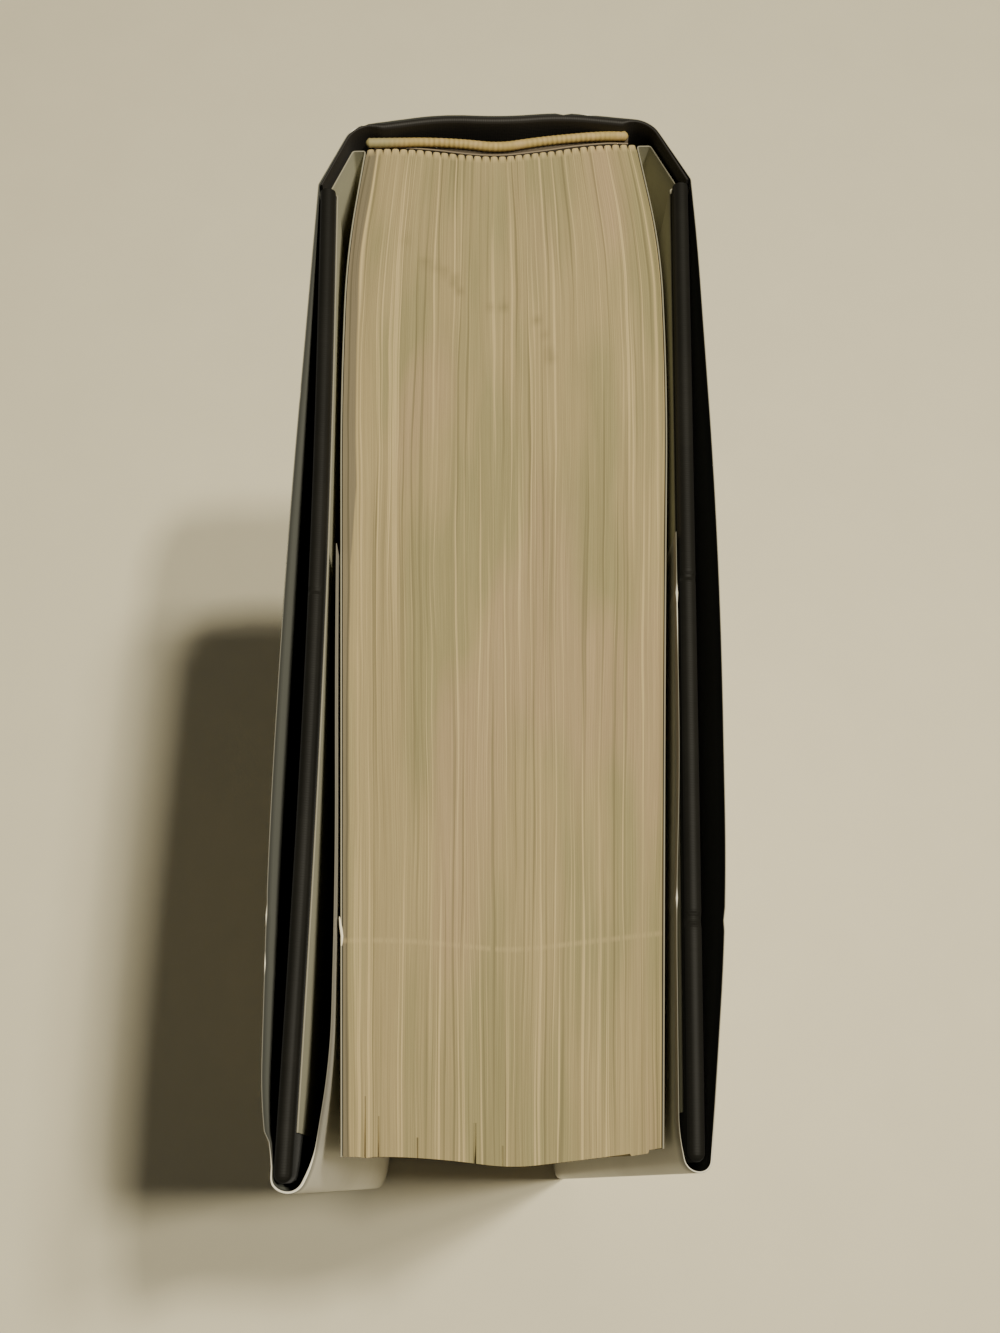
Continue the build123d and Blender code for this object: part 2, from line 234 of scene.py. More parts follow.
# Brown scuffs on the head of the pages: places in the frame, reach and strength
SCUFFS = (
    (-15.0 * MM, 59.7 * MM, 1.6 * MM, 0.25), (-11.9 * MM, 55.7 * MM, 1.5 * MM, 0.5),
    (-10.2 * MM, 54.9 * MM, 1.3 * MM, 0.5), (-8.8 * MM, 54.0 * MM, 1.2 * MM, 0.6),
    (-7.2 * MM, 52.4 * MM, 1.3 * MM, 0.9), (-6.5 * MM, 50.4 * MM, 1.2 * MM, 0.7),
    (0.4 * MM, 48.1 * MM, 1.2 * MM, 1.0), (-1.6 * MM, 47.6 * MM, 1.0 * MM, 0.5),
    (5.6 * MM, 45.6 * MM, 1.2 * MM, 0.7), (6.9 * MM, 42.6 * MM, 1.1 * MM, 0.5),
    (7.6 * MM, 39.3 * MM, 1.5 * MM, 0.8),
)

# Faint scratch across the head of the pages, down from the folds
SCRATCH_DOWN = 127.3 * MM

# Torn sliver of the front endpaper that stands up beside the pages
TEAR_LINE = (
    (-21.75 * MM, -47.4 * MM), (-21.55 * MM, -48.6 * MM), (-21.3 * MM, -50.0 * MM), (-21.35 * MM, -51.3 * MM),
)
TEAR_THICKNESS = 0.42 * MM
TEAR_DEPTH = 1.5 * MM
TEAR_RISE = 0.05 * MM

# Sharp edges of a mesh, in degrees, and the reach within which its points are merged
SHARP_ANGLE = 35.0
WELD_REACH = 0.001 * MM

# Stage, in metres: half the floor, and the colour of the even light
FLOOR_HALF = 3.0
SKY_COLOUR = (1.0, 0.97, 0.89)

# Lamps: name, place, width, length and share of the power, and their colour
LAMPS = (
    ("near lamp", (0.215, -0.06, 1.02), 0.05, 0.04, 0.35),
    ("middle lamp", (0.235, 0.05, 1.22), 0.05, 0.05, 0.37),
    ("far lamp", (0.33, 0.06, 1.24), 0.07, 0.06, 0.28),
)
LAMP_COLOUR = (1.0, 0.94, 0.78)

# The photograph's frame: its size, the point under the camera, and the lens, in pixels
FRAME_CENTRE = (500.0, 666.5)
NADIR_PIXEL = (448.0, 1184.0)
FOCAL_PIXELS = 1485.0
FRAME_LONG_SIDE = 1333.0
SENSOR_WIDTH = 36.0

# Sizes that follow
COVER_WIDTH = PAGE_WIDTH + FORE_SQUARE - JOINT_SETBACK
PAGE_TOP = COVER_HEIGHT - SQUARE
SPINE_LINE = PAGE_WIDTH / 2
FORE_LINE = -PAGE_WIDTH / 2
JOINT_LINE = SPINE_LINE - JOINT_SETBACK
FOLD_LINE = SPINE_LINE + FOLD_DEPTH
SHOULDER_HALF = SPINE_HALF + SHOULDER_REACH
MULL_FACE = FOLD_DEPTH + GLUE_GAP + MULL_THICKNESS
LINING_FACE = MULL_FACE + LINING_THICKNESS
BAND_FACE = LINING_FACE + TAPE_THICKNESS
CASE_LAYERS = INLAY_THICKNESS + 2 * CLOTH_THICKNESS
SHOULDER_RISE = LINING_FACE + BEAD_DIAMETER + CASE_LAYERS - SHOULDER_DROP
CROWN_RISE = SHOULDER_RISE + CROWN_LIFT
HOLLOW_RISE = SHOULDER_RISE + HOLLOW_LIFT


# Plan of the book

def plan(x, y):
    """Point of the plan, slanted across the book."""
    return np.array([x, y + SLANT_SHARE * x])


def unit(vectors):
    """Vectors scaled to length 1 along the last axis."""
    return vectors / np.linalg.norm(vectors, axis=-1, keepdims=True)


def left_of(runs):
    """Runs turned a quarter to the left."""
    return np.stack([-runs[..., 1], runs[..., 0]], axis=-1)


def turns(corners):
    """Signed angle of each inner corner of a route: the angle between the runs before and after it."""
    runs = unit(np.diff(corners, axis=0))
    before, after = runs[:-1], runs[1:]
    cross = before[:, 0] * after[:, 1] - before[:, 1] * after[:, 0]
    return np.arctan2(cross, (before * after).sum(axis=1))


def easy_bends(corners):
    """Largest bends that a route allows: a share of the shorter run beside a corner over tan(turn / 2)."""
    lengths = np.linalg.norm(np.diff(corners, axis=0), axis=1)
    shorter = np.minimum(lengths[:-1], lengths[1:])
    return BEND_SHARE * shorter / np.tan(np.abs(turns(corners)) / 2)


def shifted(corners, bends, distance):
    """Route moved to its left, each corner along its mitre, and its bends kept concentric."""
    sides = left_of(unit(np.diff(corners, axis=0)))
    before, after = sides[:-1], sides[1:]
    mitre = (before + after) * (distance / (1 + (before * after).sum(axis=1, keepdims=True)))
    moved = np.vstack([corners[0] + sides[0] * distance, corners[1:-1] + mitre, corners[-1] + sides[-1] * distance])
    return moved, bends - np.sign(turns(corners)) * distance


def rounded(corners, bends, arc_steps=16):
    """Points of a route with its corners cut by arcs: each arc turns about a centre one bend to the inside."""
    runs = unit(np.diff(corners, axis=0))
    angles = turns(corners)
    pieces = [corners[:1]]
    for corner, bend, angle, run in zip(corners[1:-1], bends, angles, runs[:-1]):
        start = corner - run * bend * math.tan(abs(angle) / 2)
        side = math.copysign(1, angle)
        inward = left_of(run) * side
        sweep = np.linspace(0, abs(angle), arc_steps)[:, None]
        pieces.append(start + inward * bend * (1 - np.cos(sweep)) + run * bend * np.sin(sweep))
    pieces.append(corners[-1:])
    return np.vstack(pieces)


def step_lengths(points):
    """Length of each step along a line of points."""
    return np.linalg.norm(np.diff(points, axis=0), axis=1)


def summed(steps):
    """Running sum of steps, from nothing."""
    return np.concatenate([[0], np.cumsum(steps)])


def paced(points, spacing, swing):
    """Points read again along a line, close together where it bends: even steps of length / spacing + turn / swing.

    swing is in degrees. Returns the points, the unit normals to the left and the travel along the line."""
    points = points[np.concatenate([[True], step_lengths(points) > 1e-9])]
    lengths = step_lengths(points)
    bend = np.zeros(len(points))
    bend[1:-1] = np.abs(turns(points))
    measure = summed(lengths / spacing + (bend[:-1] + bend[1:]) / 2 / math.radians(swing))
    travel = summed(lengths)
    even = np.linspace(0, measure[-1], int(math.ceil(measure[-1])) + 1)
    along = np.interp(even, measure, travel)
    placed = np.stack([np.interp(along, travel, points[:, 0]), np.interp(along, travel, points[:, 1])], axis=1)
    tangents = np.gradient(placed, along, axis=0)
    return placed, left_of(unit(tangents)), along


def page_corners(side):
    """Corners of one side of the pages before the slant: half thickness and level, spine to fore-edge."""
    drift = side * SWELL_DRIFT
    waist = FORE_HALF + WAIST_THICKNESS_SHARE * (SWELL_HALF - FORE_HALF)
    return np.array([
        (SPINE_HALF, SPINE_LINE),
        (SWELL_HALF + drift, SWELL_HEAD_SHARE * PAGE_WIDTH),
        (SWELL_HALF + drift, SWELL_TAIL_SHARE * PAGE_WIDTH),
        (waist + drift * WAIST_DRIFT_SHARE, WAIST_SHARE * PAGE_WIDTH),
        (FORE_HALF, FORE_LINE),
    ])


def page_side(side):
    """Corners of one side of the pages in the plan."""
    return np.array([plan(side * x, y) for x, y in page_corners(side)])


def page_half(side, level):
    """Half thickness of the pages at a level before the slant."""
    half, levels = page_corners(side).T
    return np.interp(level, levels[::-1], half[::-1])


def fold_route(reach):
    """Corners of the line of the folds, front to back, with its dip in the middle."""
    return np.array([plan(x * reach, SPINE_LINE + y) for x, y in FOLD_SHAPE])


def bead_route(reach):
    """Corners of the middle of a band's bead, front to back; it dips more sharply than the folds."""
    return np.array([plan(x * reach, SPINE_LINE + y) for x, y in BEAD_SHAPE])


JOINT_REACH = {side: SWELL_HALF + JOINT_ROOM[side] for side in (FRONT, BACK)}
FORE_REACH = {side: FORE_HALF + FORE_ROOM[side] for side in (FRONT, BACK)}


def cover_lean(side):
    """Angle by which a cover leans in towards the pages at the fore-edge."""
    return math.asin((JOINT_REACH[side] - FORE_REACH[side]) / COVER_WIDTH)


def cover_point(side, along, out):
    """Point of the plan from a cover's own sizes: along it from the joint, and out from its inner face."""
    lean = cover_lean(side)
    down = np.array([-side * math.sin(lean), -math.cos(lean)])
    outward = np.array([side * math.cos(lean), -math.sin(lean)])
    return plan(side * JOINT_REACH[side], JOINT_LINE) + np.multiply.outer(along, down) + np.multiply.outer(out, outward)


def case_route():
    """Corners of the outer face of the cloth over joints and spine, front to back."""
    crown = CROWN_SHARE * SHOULDER_HALF
    return np.array([
        cover_point(FRONT, -JOINT_CLEARANCE, COVER_THICKNESS),
        plan(-SHOULDER_HALF, SPINE_LINE + SHOULDER_RISE),
        plan(-crown, SPINE_LINE + CROWN_RISE),
        plan(0, SPINE_LINE + HOLLOW_RISE),
        plan(crown, SPINE_LINE + CROWN_RISE),
        plan(SHOULDER_HALF, SPINE_LINE + SHOULDER_RISE),
        cover_point(BACK, -JOINT_CLEARANCE, COVER_THICKNESS),
    ])


CASE_CORNERS = case_route()
CASE_BENDS = easy_bends(CASE_CORNERS)
CASE_BENDS[[0, -1]] = SHOULDER_RADIUS


def level_point(start, run, level):
    """Point at which a run from a start meets a level line of the plan."""
    return start + run * (level - start[1] + SLANT_SHARE * start[0]) / (run[1] - SLANT_SHARE * run[0])


def joint_meet(side, depth, level):
    """Board edge of a joint, at a depth under its cloth's face, and where the joint meets a level line of the plan."""
    corners = CASE_CORNERS[:2] if side == FRONT else CASE_CORNERS[:-3:-1]
    run = corners[1] - corners[0]
    start = corners[0] + left_of(unit(run)) * side * depth
    return start, level_point(start, run, level)


def hinge_plan(side):
    """Plan point about which a cover swings: outside the cloth, beside the middle of the joint."""
    ends = CASE_CORNERS[:2] if side == FRONT else CASE_CORNERS[-2:]
    return ends.mean(axis=0) + left_of(unit(ends[1] - ends[0])) * HINGE_REACH


def centre_shift():
    """Shift from the plan to the frame, read from the hinge of the front cover."""
    joints = {joint["name"]: joint for joint in frame["record"]["behaviour"]["joints"]}
    return np.array(joints["front_joint"]["pos_m"][:2]) - hinge_plan(FRONT)


SHIFT = centre_shift()


# Meshes

def add_piece(name, points, faces, body, layout=None, slots=None, smooth_angle=SHARP_ANGLE):
    """Closed mesh at the origin that rides on a body, with its own lay-out of the surface as a UV map."""
    mesh = bpy.data.meshes.new(name)
    mesh.from_pydata(points.reshape(-1, 3), [], faces)
    mesh.validate()
    if layout is not None:
        corner_points = np.empty(len(mesh.loops), dtype=np.int32)
        mesh.loops.foreach_get("vertex_index", corner_points)
        mesh.uv_layers.new(name="Lay").data.foreach_set("uv", layout.reshape(-1, 2)[corner_points].ravel())
    if slots is not None:
        mesh.polygons.foreach_set("material_index", slots.astype(np.int32))
    mesh.shade_smooth()
    mesh.set_sharp_from_angle(angle=math.radians(smooth_angle))
    mesh.update()
    piece = bpy.data.objects.new(name, mesh)
    bpy.context.scene.collection.objects.link(piece)
    if body:
        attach(piece, body)
    return piece


def dress(piece, *materials):
    """Gives a piece its materials, in slot order."""
    slots = piece.data.materials
    for index, material in enumerate(materials):
        if index < len(slots):
            slots[index] = material
        else:
            slots.append(material)


def mark(piece, name, values):
    """Gives each point of a piece a value that its material reads by name."""
    piece.data.attributes.new(name, "FLOAT", "POINT").data.foreach_set("value", values.astype(np.float32))


def quads(rows, columns, wrap=False):
    """Faces of a grid of rows by columns of points, closed round its columns where it wraps."""
    index = np.arange(rows * columns).reshape(rows, columns)
    if wrap:
        index = np.hstack([index, index[:, :1]])
    return np.stack([index[:-1, :-1], index[:-1, 1:], index[1:, 1:], index[1:, :-1]], axis=-1).reshape(-1, 4)


def sheet_piece(name, line, near, far, bottom, top, rows, body=None, relief=None, rim=None, rim_steps=1, lean=None):
    """Upright sheet along a line: point = line + left normal * offset, at height z.

    Its profile goes up the far face, over a half-round rim, down the near face and round the foot, and is carried
    along the line; the two ends are closed by flat strips. near, far, bottom and top may change along the line,
    relief(travel, z) moves both faces together along the normal, and lean(points, z) moves them towards the spine."""
    placed, normals, travel = line
    count = len(placed)
    near, far, bottom, top = (np.broadcast_to(value, count)[:, None] for value in (near, far, bottom, top))
    thin = (far - near) / 2
    middle = (near + far) / 2
    rim = thin if rim is None else np.broadcast_to(rim, count)[:, None]
    share = np.linspace(0, 1, rows)
    climb = bottom + rim + (top - bottom - 2 * rim) * share
    bow = np.linspace(0, math.pi, rim_steps + 2)[1:-1]
    heights = np.hstack([
        climb, top - rim * (1 - np.sin(bow)), climb[:, ::-1], bottom + rim * (1 - np.sin(bow)),
    ])
    side = np.ones((count, rows)) * thin
    offsets = middle + np.hstack([side, thin * np.cos(bow), -side, -thin * np.cos(bow)])
    if relief is not None:
        offsets = offsets + relief(travel[:, None], heights)
    flat = placed[:, None, :] + normals[:, None, :] * offsets[..., None] + SHIFT
    if lean is not None:
        flat[..., 1] += lean(flat, heights)
    points = np.concatenate([flat, heights[..., None]], axis=-1)
    ring = 2 * (rows + rim_steps)
    faces = quads(count, ring, wrap=True)
    slots = np.tile(np.where(np.arange(ring) < rows - 1, 0, 1), count - 1)
    step = np.arange(ring // 2)
    foot = 2 * rows + rim_steps + rim_steps // 2
    ends = np.stack([foot + step, foot + step + 1, foot - step - 1, foot - step], axis=-1) % ring
    ends = [list(dict.fromkeys(face)) for face in ends.tolist()]
    caps = [[index + (count - 1) * ring for index in face] for face in ends] + [face[::-1] for face in ends]
    layout = np.stack([np.broadcast_to(travel[:, None], heights.shape), heights], axis=-1)
    all_slots = np.concatenate([slots, np.ones(len(caps))])
    return add_piece(name, points, faces.tolist() + caps, body, layout, all_slots)


def cut_line(line, start, end):
    """Part of a paced line, from one station to another."""
    return tuple(part[start:end] for part in line)


def tube_piece(name, line, height, radius, body, around=16):
    """Round cord along a line at one height: point = centre + radius(travel, angle) * (cos, sin), ends domed shut."""
    placed, normals, travel = line
    angle = np.linspace(0, 2 * math.pi, around, endpoint=False)[None, :]
    size = radius(travel[:, None], angle)
    size = size * np.sqrt(np.clip(np.minimum(travel, travel[-1] - travel) / (BEAD_DIAMETER / 2), 0.02, 1))[:, None]
    offset = size * np.cos(angle)
    flat = placed[:, None, :] + normals[:, None, :] * offset[..., None] + SHIFT
    points = np.concatenate([flat, (height + size * np.sin(angle))[..., None]], axis=-1)
    count = len(placed)
    last = (count - 1) * around
    faces = quads(count, around, wrap=True).tolist()
    faces += [list(range(around))[::-1], [last + index for index in range(around)]]
    layout = np.stack([np.broadcast_to(travel[:, None], size.shape), np.broadcast_to(angle, size.shape)], axis=-1)
    return add_piece(name, points, faces, body, layout, None, 60.0)


# Materials

def finish(name):
    """New node material, with a function that adds one node, sets its values and joins its inputs."""
    material = bpy.data.materials.new(name)
    material.use_nodes = True
    tree = material.node_tree
    tree.nodes.clear()

    def add(kind, inputs=None, **settings):
        node = tree.nodes.new("ShaderNode" + kind)
        for key, value in settings.items():
            setattr(node, key, value)
        for key, value in (inputs or {}).items():
            if isinstance(value, bpy.types.NodeSocket):
                tree.links.new(value, node.inputs[key])
            else:
                node.inputs[key].default_value = value
        return node

    return material, add


def done(add, colour, roughness, height=None, bump=0.3, distance=0.0001, **fixed):
    """Shader and output of a finish; height drives the bump, and fixed values go straight on the shader."""
    inputs = {"Base Color": colour, "Roughness": roughness}
    if height is not None:
        inputs["Normal"] = add("Bump", {"Height": height, "Strength": bump, "Distance": distance}).outputs["Normal"]
    shader = add("BsdfPrincipled", inputs)
    for key, value in fixed.items():
        shader.inputs[key.replace("_", " ")].default_value = value
    add("OutputMaterial", {"Surface": shader.outputs["BSDF"]})


def maths(add, operation, first, second=0.5, clamp=False):
    """One step of arithmetic between two sockets or numbers."""
    return add("Math", {0: first, 1: second}, operation=operation, use_clamp=clamp).outputs[0]


def times(add, first, second):
    """Product of two sockets or numbers."""
    return maths(add, "MULTIPLY", first, second)


def apart(add, first, second):
    """Distance between two sockets or numbers, whichever is the greater."""
    return maths(add, "ABSOLUTE", maths(add, "SUBTRACT", first, second), 0.0)


def ripple(add, value, pitch):
    """Sine wave of a value, one turn for each pitch."""
    return maths(add, "SINE", times(add, value, 2 * math.pi / pitch), 0.0)


def parts_of(add, vector):
    """The three parts of a vector, as sockets."""
    return list(add("SeparateXYZ", {"Vector": vector}).outputs)


def noise(add, vector, scale, detail=3.0, roughness=0.5, dimensions="3D"):
    """Noise value of a vector."""
    inputs = {"Vector": vector, "Scale": scale, "Detail": detail, "Roughness": roughness}
    return add("TexNoise", inputs, noise_dimensions=dimensions).outputs["Fac"]


def stretched(add, vector, scale):
    """Vector stretched along its axes."""
    return add("Mapping", {"Vector": vector, "Scale": scale}).outputs["Vector"]


def blended(add, factor, first, second):
    """Blend of two colours by a factor."""
    inputs = {0: factor, 6: first, 7: second}
    return add("Mix", inputs, data_type="RGBA").outputs[2]


def stained(add, tone, factor, strength, stain):
    """Tone with a stain over it, at a factor times a strength."""
    return blended(add, times(add, factor, strength), tone, stain)


def ramp(add, value, low, high, first=0.0, second=1.0):
    """Value carried from one range to another, and held at its ends."""
    inputs = {"Value": value, "From Min": low, "From Max": high, "To Min": first, "To Max": second}
    return add("MapRange", inputs).outputs[0]


def opaque(colour):
    """Colour with full cover."""
    return tuple(colour[:3]) + (1.0,)


def toned(colour, red, green, blue):
    """Colour with each of its channels times a share of its own."""
    return (colour[0] * red, colour[1] * green, colour[2] * blue, 1.0)


def darker(colour, share):
    """Colour times a share; it is lighter where the share is above 1."""
    return toned(colour, share, share, share)


def lay(add):
    """The piece's own lay-out: travel along it and height, in metres."""
    return add("UVMap", uv_map="Lay").outputs["UV"]


def spot(add):
    """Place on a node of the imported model, in metres."""
    return add("TexCoord").outputs["Object"]


def cut_edge(add, tone, edge):
    """Tone of a sheet's faces, and the tone of its cut edge where the surface looks up or down."""
    upward = parts_of(add, add("NewGeometry").outputs["Normal"])[2]
    return blended(add, ramp(add, maths(add, "ABSOLUTE", upward, 0.0), 0.4, 0.8), tone, edge)


def jacket_paper(name, tint, edge, worn, gloss):
    """Heavy printed paper: even tint, faint handling marks, fine fibre, dull cut edge that is pale where it is worn."""
    material, add = finish(name)
    place = lay(add)
    fibre = noise(add, place, 1800.0, 4.0, 0.6)
    cloud = noise(add, place, 14.0, 4.0, 0.6)
    rub = noise(add, stretched(add, place, (1.0, 0.15, 1.0)), 260.0, 5.0, 0.7)
    tone = blended(add, ramp(add, cloud, 0.35, 0.7), opaque(tint), darker(tint, 0.93))
    tone = blended(add, ramp(add, rub, 0.62, 0.75, 0.0, 0.18), tone, darker(tint, 0.8))
    # Darker towards the head edge of the paper, on both its faces
    darker_near_head = ramp(add, parts_of(add, place)[1],COVER_HEIGHT - 5 * MM, COVER_HEIGHT - 1.5 * MM, 0.0, 0.85)
    tone = blended(add, darker_near_head, tone, darker(tint, 0.26))
    rim = blended(add, add("Attribute", attribute_name="Worn").outputs["Fac"], opaque(edge), opaque(worn))
    tone = cut_edge(add, tone, rim)
    height = maths(add, "ADD", times(add, fibre, 0.25), cloud)
    done(add, tone, ramp(add, cloud, 0.3, 0.7, gloss, gloss + 0.12), height, 0.25, 0.0003)
    return material


def book_cloth(name, tint, shine):
    """Woven book cloth: threads over and under each other, dusty where they are proud."""
    material, add = finish(name)
    place = lay(add)
    warp, weft, third = (ripple(add, part, CLOTH_PITCH) for part in parts_of(add, place))
    weave = times(add, maths(add, "ADD", warp, weft), maths(add, "ADD", third, 1.2))
    fuzz = noise(add, place, 2200.0, 3.0, 0.6)
    dust = noise(add, place, 60.0, 5.0, 0.65)
    height = maths(add, "ADD", times(add, weave, 0.25), fuzz)
    tone = blended(add, ramp(add, dust, 0.45, 0.8), opaque(tint), darker(tint, 1.6))
    tone = blended(add, ramp(add, fuzz, 0.55, 0.85, 0.0, 0.3), tone, darker(tint, 2.4))
    done(add, tone, 0.62, height, 0.22, 0.0001, Specular_IOR_Level=shine, Sheen_Weight=0.04, Sheen_Roughness=0.4)
    return material


def plain_paper(name, tint, edge):
    """Uncoated paper: faint cloudy formation and tooth, and a cut edge of its own tone."""
    material, add = finish(name)
    place = lay(add)
    cloud = noise(add, place, 90.0, 5.0, 0.6)
    tooth = noise(add, place, 2600.0, 3.0, 0.6)
    tone = blended(add, ramp(add, cloud, 0.35, 0.7), opaque(tint), darker(tint, 0.86))
    tone = cut_edge(add, tone, opaque(edge))
    done(add, tone, 0.9, tooth, 0.2, 0.0001)
    return material


def leaf_edges(name, tint, shade):
    """Cut edges of the leaves: long wavering streaks, rosy and green patches, pale streaks painted as highlight on
    proud leaves, and painted shade in the gaps between leaves and between the folds.
    """
    material, add = finish(name)
    place = lay(add)
    across, down, _ = parts_of(add, place)
    sway = noise(add, stretched(add, place, (0.35, 22.0, 1.0)), 1.0, 2.0, 0.5, "2D")
    swayed = maths(add, "ADD", across, times(add, maths(add, "SUBTRACT", sway, 0.5), 0.9))
    bent = add("CombineXYZ", {"X": swayed, "Y": down}).outputs["Vector"]

    def streak(pace, drift, shift, detail=1.0):
        """Noise drawn out along the leaves."""
        moved = add("Mapping", {"Vector": bent, "Location": (shift, shift, 0.0), "Scale": (pace, drift, 1.0)})
        return noise(add, moved.outputs["Vector"], 1.0, detail, 0.5, "2D")

    # Pale streaks are painted highlight on leaves that stand proud; dark streaks are painted shade in the gaps between
    # leaves
    pale = ramp(add, streak(2.6, 9.0, 3.1), 0.60, 0.72)
    dark = ramp(add, streak(2.2, 10.0, 17.7), 0.60, 0.74)
    medium = streak(7.0, 16.0, 41.3, 2.0)
    fine = streak(26.0, 45.0, 59.9, 3.0)
    bands = streak(0.55, 7.0, 73.4, 2.0)
    patch = noise(add, stretched(add, place, (0.16, 22.0, 1.0)), 1.0, 2.0, 0.5, "2D")

    flush = noise(add, stretched(add, place, (0.12, 17.0, 1.0)), 1.0, 1.0, 0.5, "2D")
    tone = blended(add, ramp(add, patch, 0.40, 0.60), opaque(tint), opaque(shade))
    tone = blended(add, ramp(add, flush, 0.54, 0.68, 0.0, 0.8), tone, toned(tint, 1.06, 0.97, 1.12))
    tone = blended(add, ramp(add, bands, 0.35, 0.68, 0.0, 0.22), tone, darker(tint, 0.72))
    near_fore = ramp(add, down, 90 * MM, 150 * MM, 1.0, 1.5)
    tone = stained(add, tone, ramp(add, medium, 0.38, 0.66, 0.0, 0.28), near_fore, darker(shade, 0.68))
    tone = stained(add, tone, ramp(add, fine, 0.35, 0.7, 0.0, 0.26), near_fore, darker(shade, 0.64))
    tone = stained(add, tone, pale, 0.65, darker(tint, 1.42))
    tone = stained(add, tone, dark, 0.6, darker(shade, 0.5))

    def line_at(place_across, width):
        """Soft line along the leaves, at a place across the pages."""
        return ramp(add, apart(add, swayed, place_across), 0.0, width, 1.0, 0.0)

    # Painted shade over the first leaves beside the front endpaper, with a painted shade slit and a painted highlight
    # line on a leaf there, and painted shade over the last leaves beside the back endpaper
    group = ramp(add, down, 60 * MM, 73 * MM, 1.2, 0.55)
    in_group = ramp(add, maths(add, "SUBTRACT", group, swayed), -0.05, 0.1)
    tone = stained(add, tone, in_group, 0.85, toned(shade, 0.5, 0.49, 0.66))
    tone = stained(add, tone, line_at(0.38, 0.12), 0.8, darker(shade, 0.25))
    tone = stained(add, tone, line_at(1.35, 0.14), 0.55, darker(tint, 1.35))
    tone = stained(add, tone, ramp(add, across, 32.3, 32.9), 0.4, darker(shade, 0.5))
    scuff = add("Attribute", attribute_name="Scuff").outputs["Fac"]
    worn = times(add, scuff, ramp(add, fine, 0.3, 0.6, 0.35, 1.0))
    tone = stained(add, tone, worn, 0.8, darker(shade, 0.36))

    on_scratch = ramp(add, apart(add, down, SCRATCH_DOWN), 0.1 * MM, 0.5 * MM, 0.3, 0.0)
    tone = stained(add, tone, on_scratch, ramp(add, medium, 0.3, 0.6), darker(tint, 1.35))
    off_fold = apart(add, maths(add, "FRACT", across, 0.0), 0.5)
    rolled = ramp(add, down, 0.2 * MM, 1.0 * MM, 0.7, 0.0)
    tone = stained(add, tone, rolled, ramp(add, off_fold, 0.1, 0.4, 1.0, 0.3), darker(tint, 1.4))
    # Painted shade in the gaps between the rounded folds of the gatherings
    gap = times(add, ramp(add, off_fold, 0.36, 0.5), ramp(add, down, 0.1 * MM, 0.8 * MM, 1.0, 0.0))
    tone = stained(add, tone, gap, 0.4, darker(shade, 0.45))
    relief = maths(add, "SUBTRACT", maths(add, "ADD", times(add, pale, 0.6), fine), times(add, dark, 0.7))
    done(add, tone, 0.85, maths(add, "ADD", relief, medium), 0.5, 0.0002)
    return material


def band_thread(name, tint):
    """Silk wound round a cord: ridges across the travel, with painted shade between them."""
    material, add = finish(name)
    place = lay(add)
    travel = parts_of(add, place)[0]
    wave = ripple(add, travel, THREAD_PITCH)
    strand = noise(add, stretched(add, place, (2100.0, 0.5, 1.0)), 1.0, 2.0, 0.6, "2D")
    soil = noise(add, stretched(add, place, (420.0, 0.4, 1.0)), 1.0, 3.0, 0.6, "2D")
    faded = ramp(add, travel, 3 * MM, 7 * MM, 0.7, 0.0)
    # Painted shade in the troughs between turns of thread
    tone = blended(add, ramp(add, wave, -1.0, 0.6, 0.35, 1.0), darker(tint, 0.72), opaque(tint))
    tone = blended(add, ramp(add, strand, 0.35, 0.7, 0.0, 0.5), tone, darker(tint, 0.68))
    tone = blended(add, ramp(add, soil, 0.5, 0.7, 0.0, 0.5), tone, toned(tint, 1.06, 1.02, 1.45))
    tone = blended(add, faded, tone, toned(tint, 0.6, 0.76, 1.15))
    done(add, tone, 0.7, maths(add, "ADD", wave, strand), 0.3, 0.00008)
    return material


def gauze(name, tint):
    """Open-woven mull set in glue: raised threads both ways over a darker ground."""
    material, add = finish(name)
    warp, weft = (ripple(add, part, MULL_PITCH) for part in parts_of(add, lay(add))[:2])
    thread = maths(add, "MAXIMUM", warp, weft)
    tone = blended(add, ramp(add, thread, 0.3, 0.9), darker(tint, 0.5), opaque(tint))
    done(add, tone, 0.85, thread, 0.6, 0.0001)
    return material


def pressed_board(name, tint):
    """Grey board: flecked, layered fibres."""
    material, add = finish(name)
    place = spot(add)
    fleck = noise(add, place, 900.0, 6.0, 0.75)
    tone = blended(add, ramp(add, fleck, 0.35, 0.7), darker(tint, 0.75), opaque(tint))
    done(add, tone, 0.95, fleck, 0.4, 0.0002)
    return material


# Settings

def colour(name, default, description):
    """Colour property."""
    return FloatVectorProperty(
        name=name, description=description, default=default, size=3, min=0.0, max=1.0, subtype="COLOR"
    )


def length(name, default, description):
    """Length property, in metres."""
    return FloatProperty(name=name, description=description, default=default, min=0.0, precision=5, unit="LENGTH")


class BookJacketSettings(bpy.types.PropertyGroup):
    """Sizes and colours of the dust jacket."""

    thickness: length("Paper thickness", 0.13 * MM, "Thickness of the jacket's paper")
    billow: length("Billow", 0.35 * MM, "How far the panels wave between head and tail")
    outside: colour("Outside", (0.62, 0.59, 0.51), "Printed side, left plain")
    # The inside is white paper painted dark: painted shade for the face that lies in the narrow gap beside the board
    inside: colour("Inside", (0.22, 0.225, 0.19), "Bare side of the paper")
    edge: colour("Cut edge", (0.15, 0.14, 0.105), "Cut edge of the paper")
    worn: colour("Worn edge", (0.64, 0.60, 0.48), "Cut edge where it has frayed")


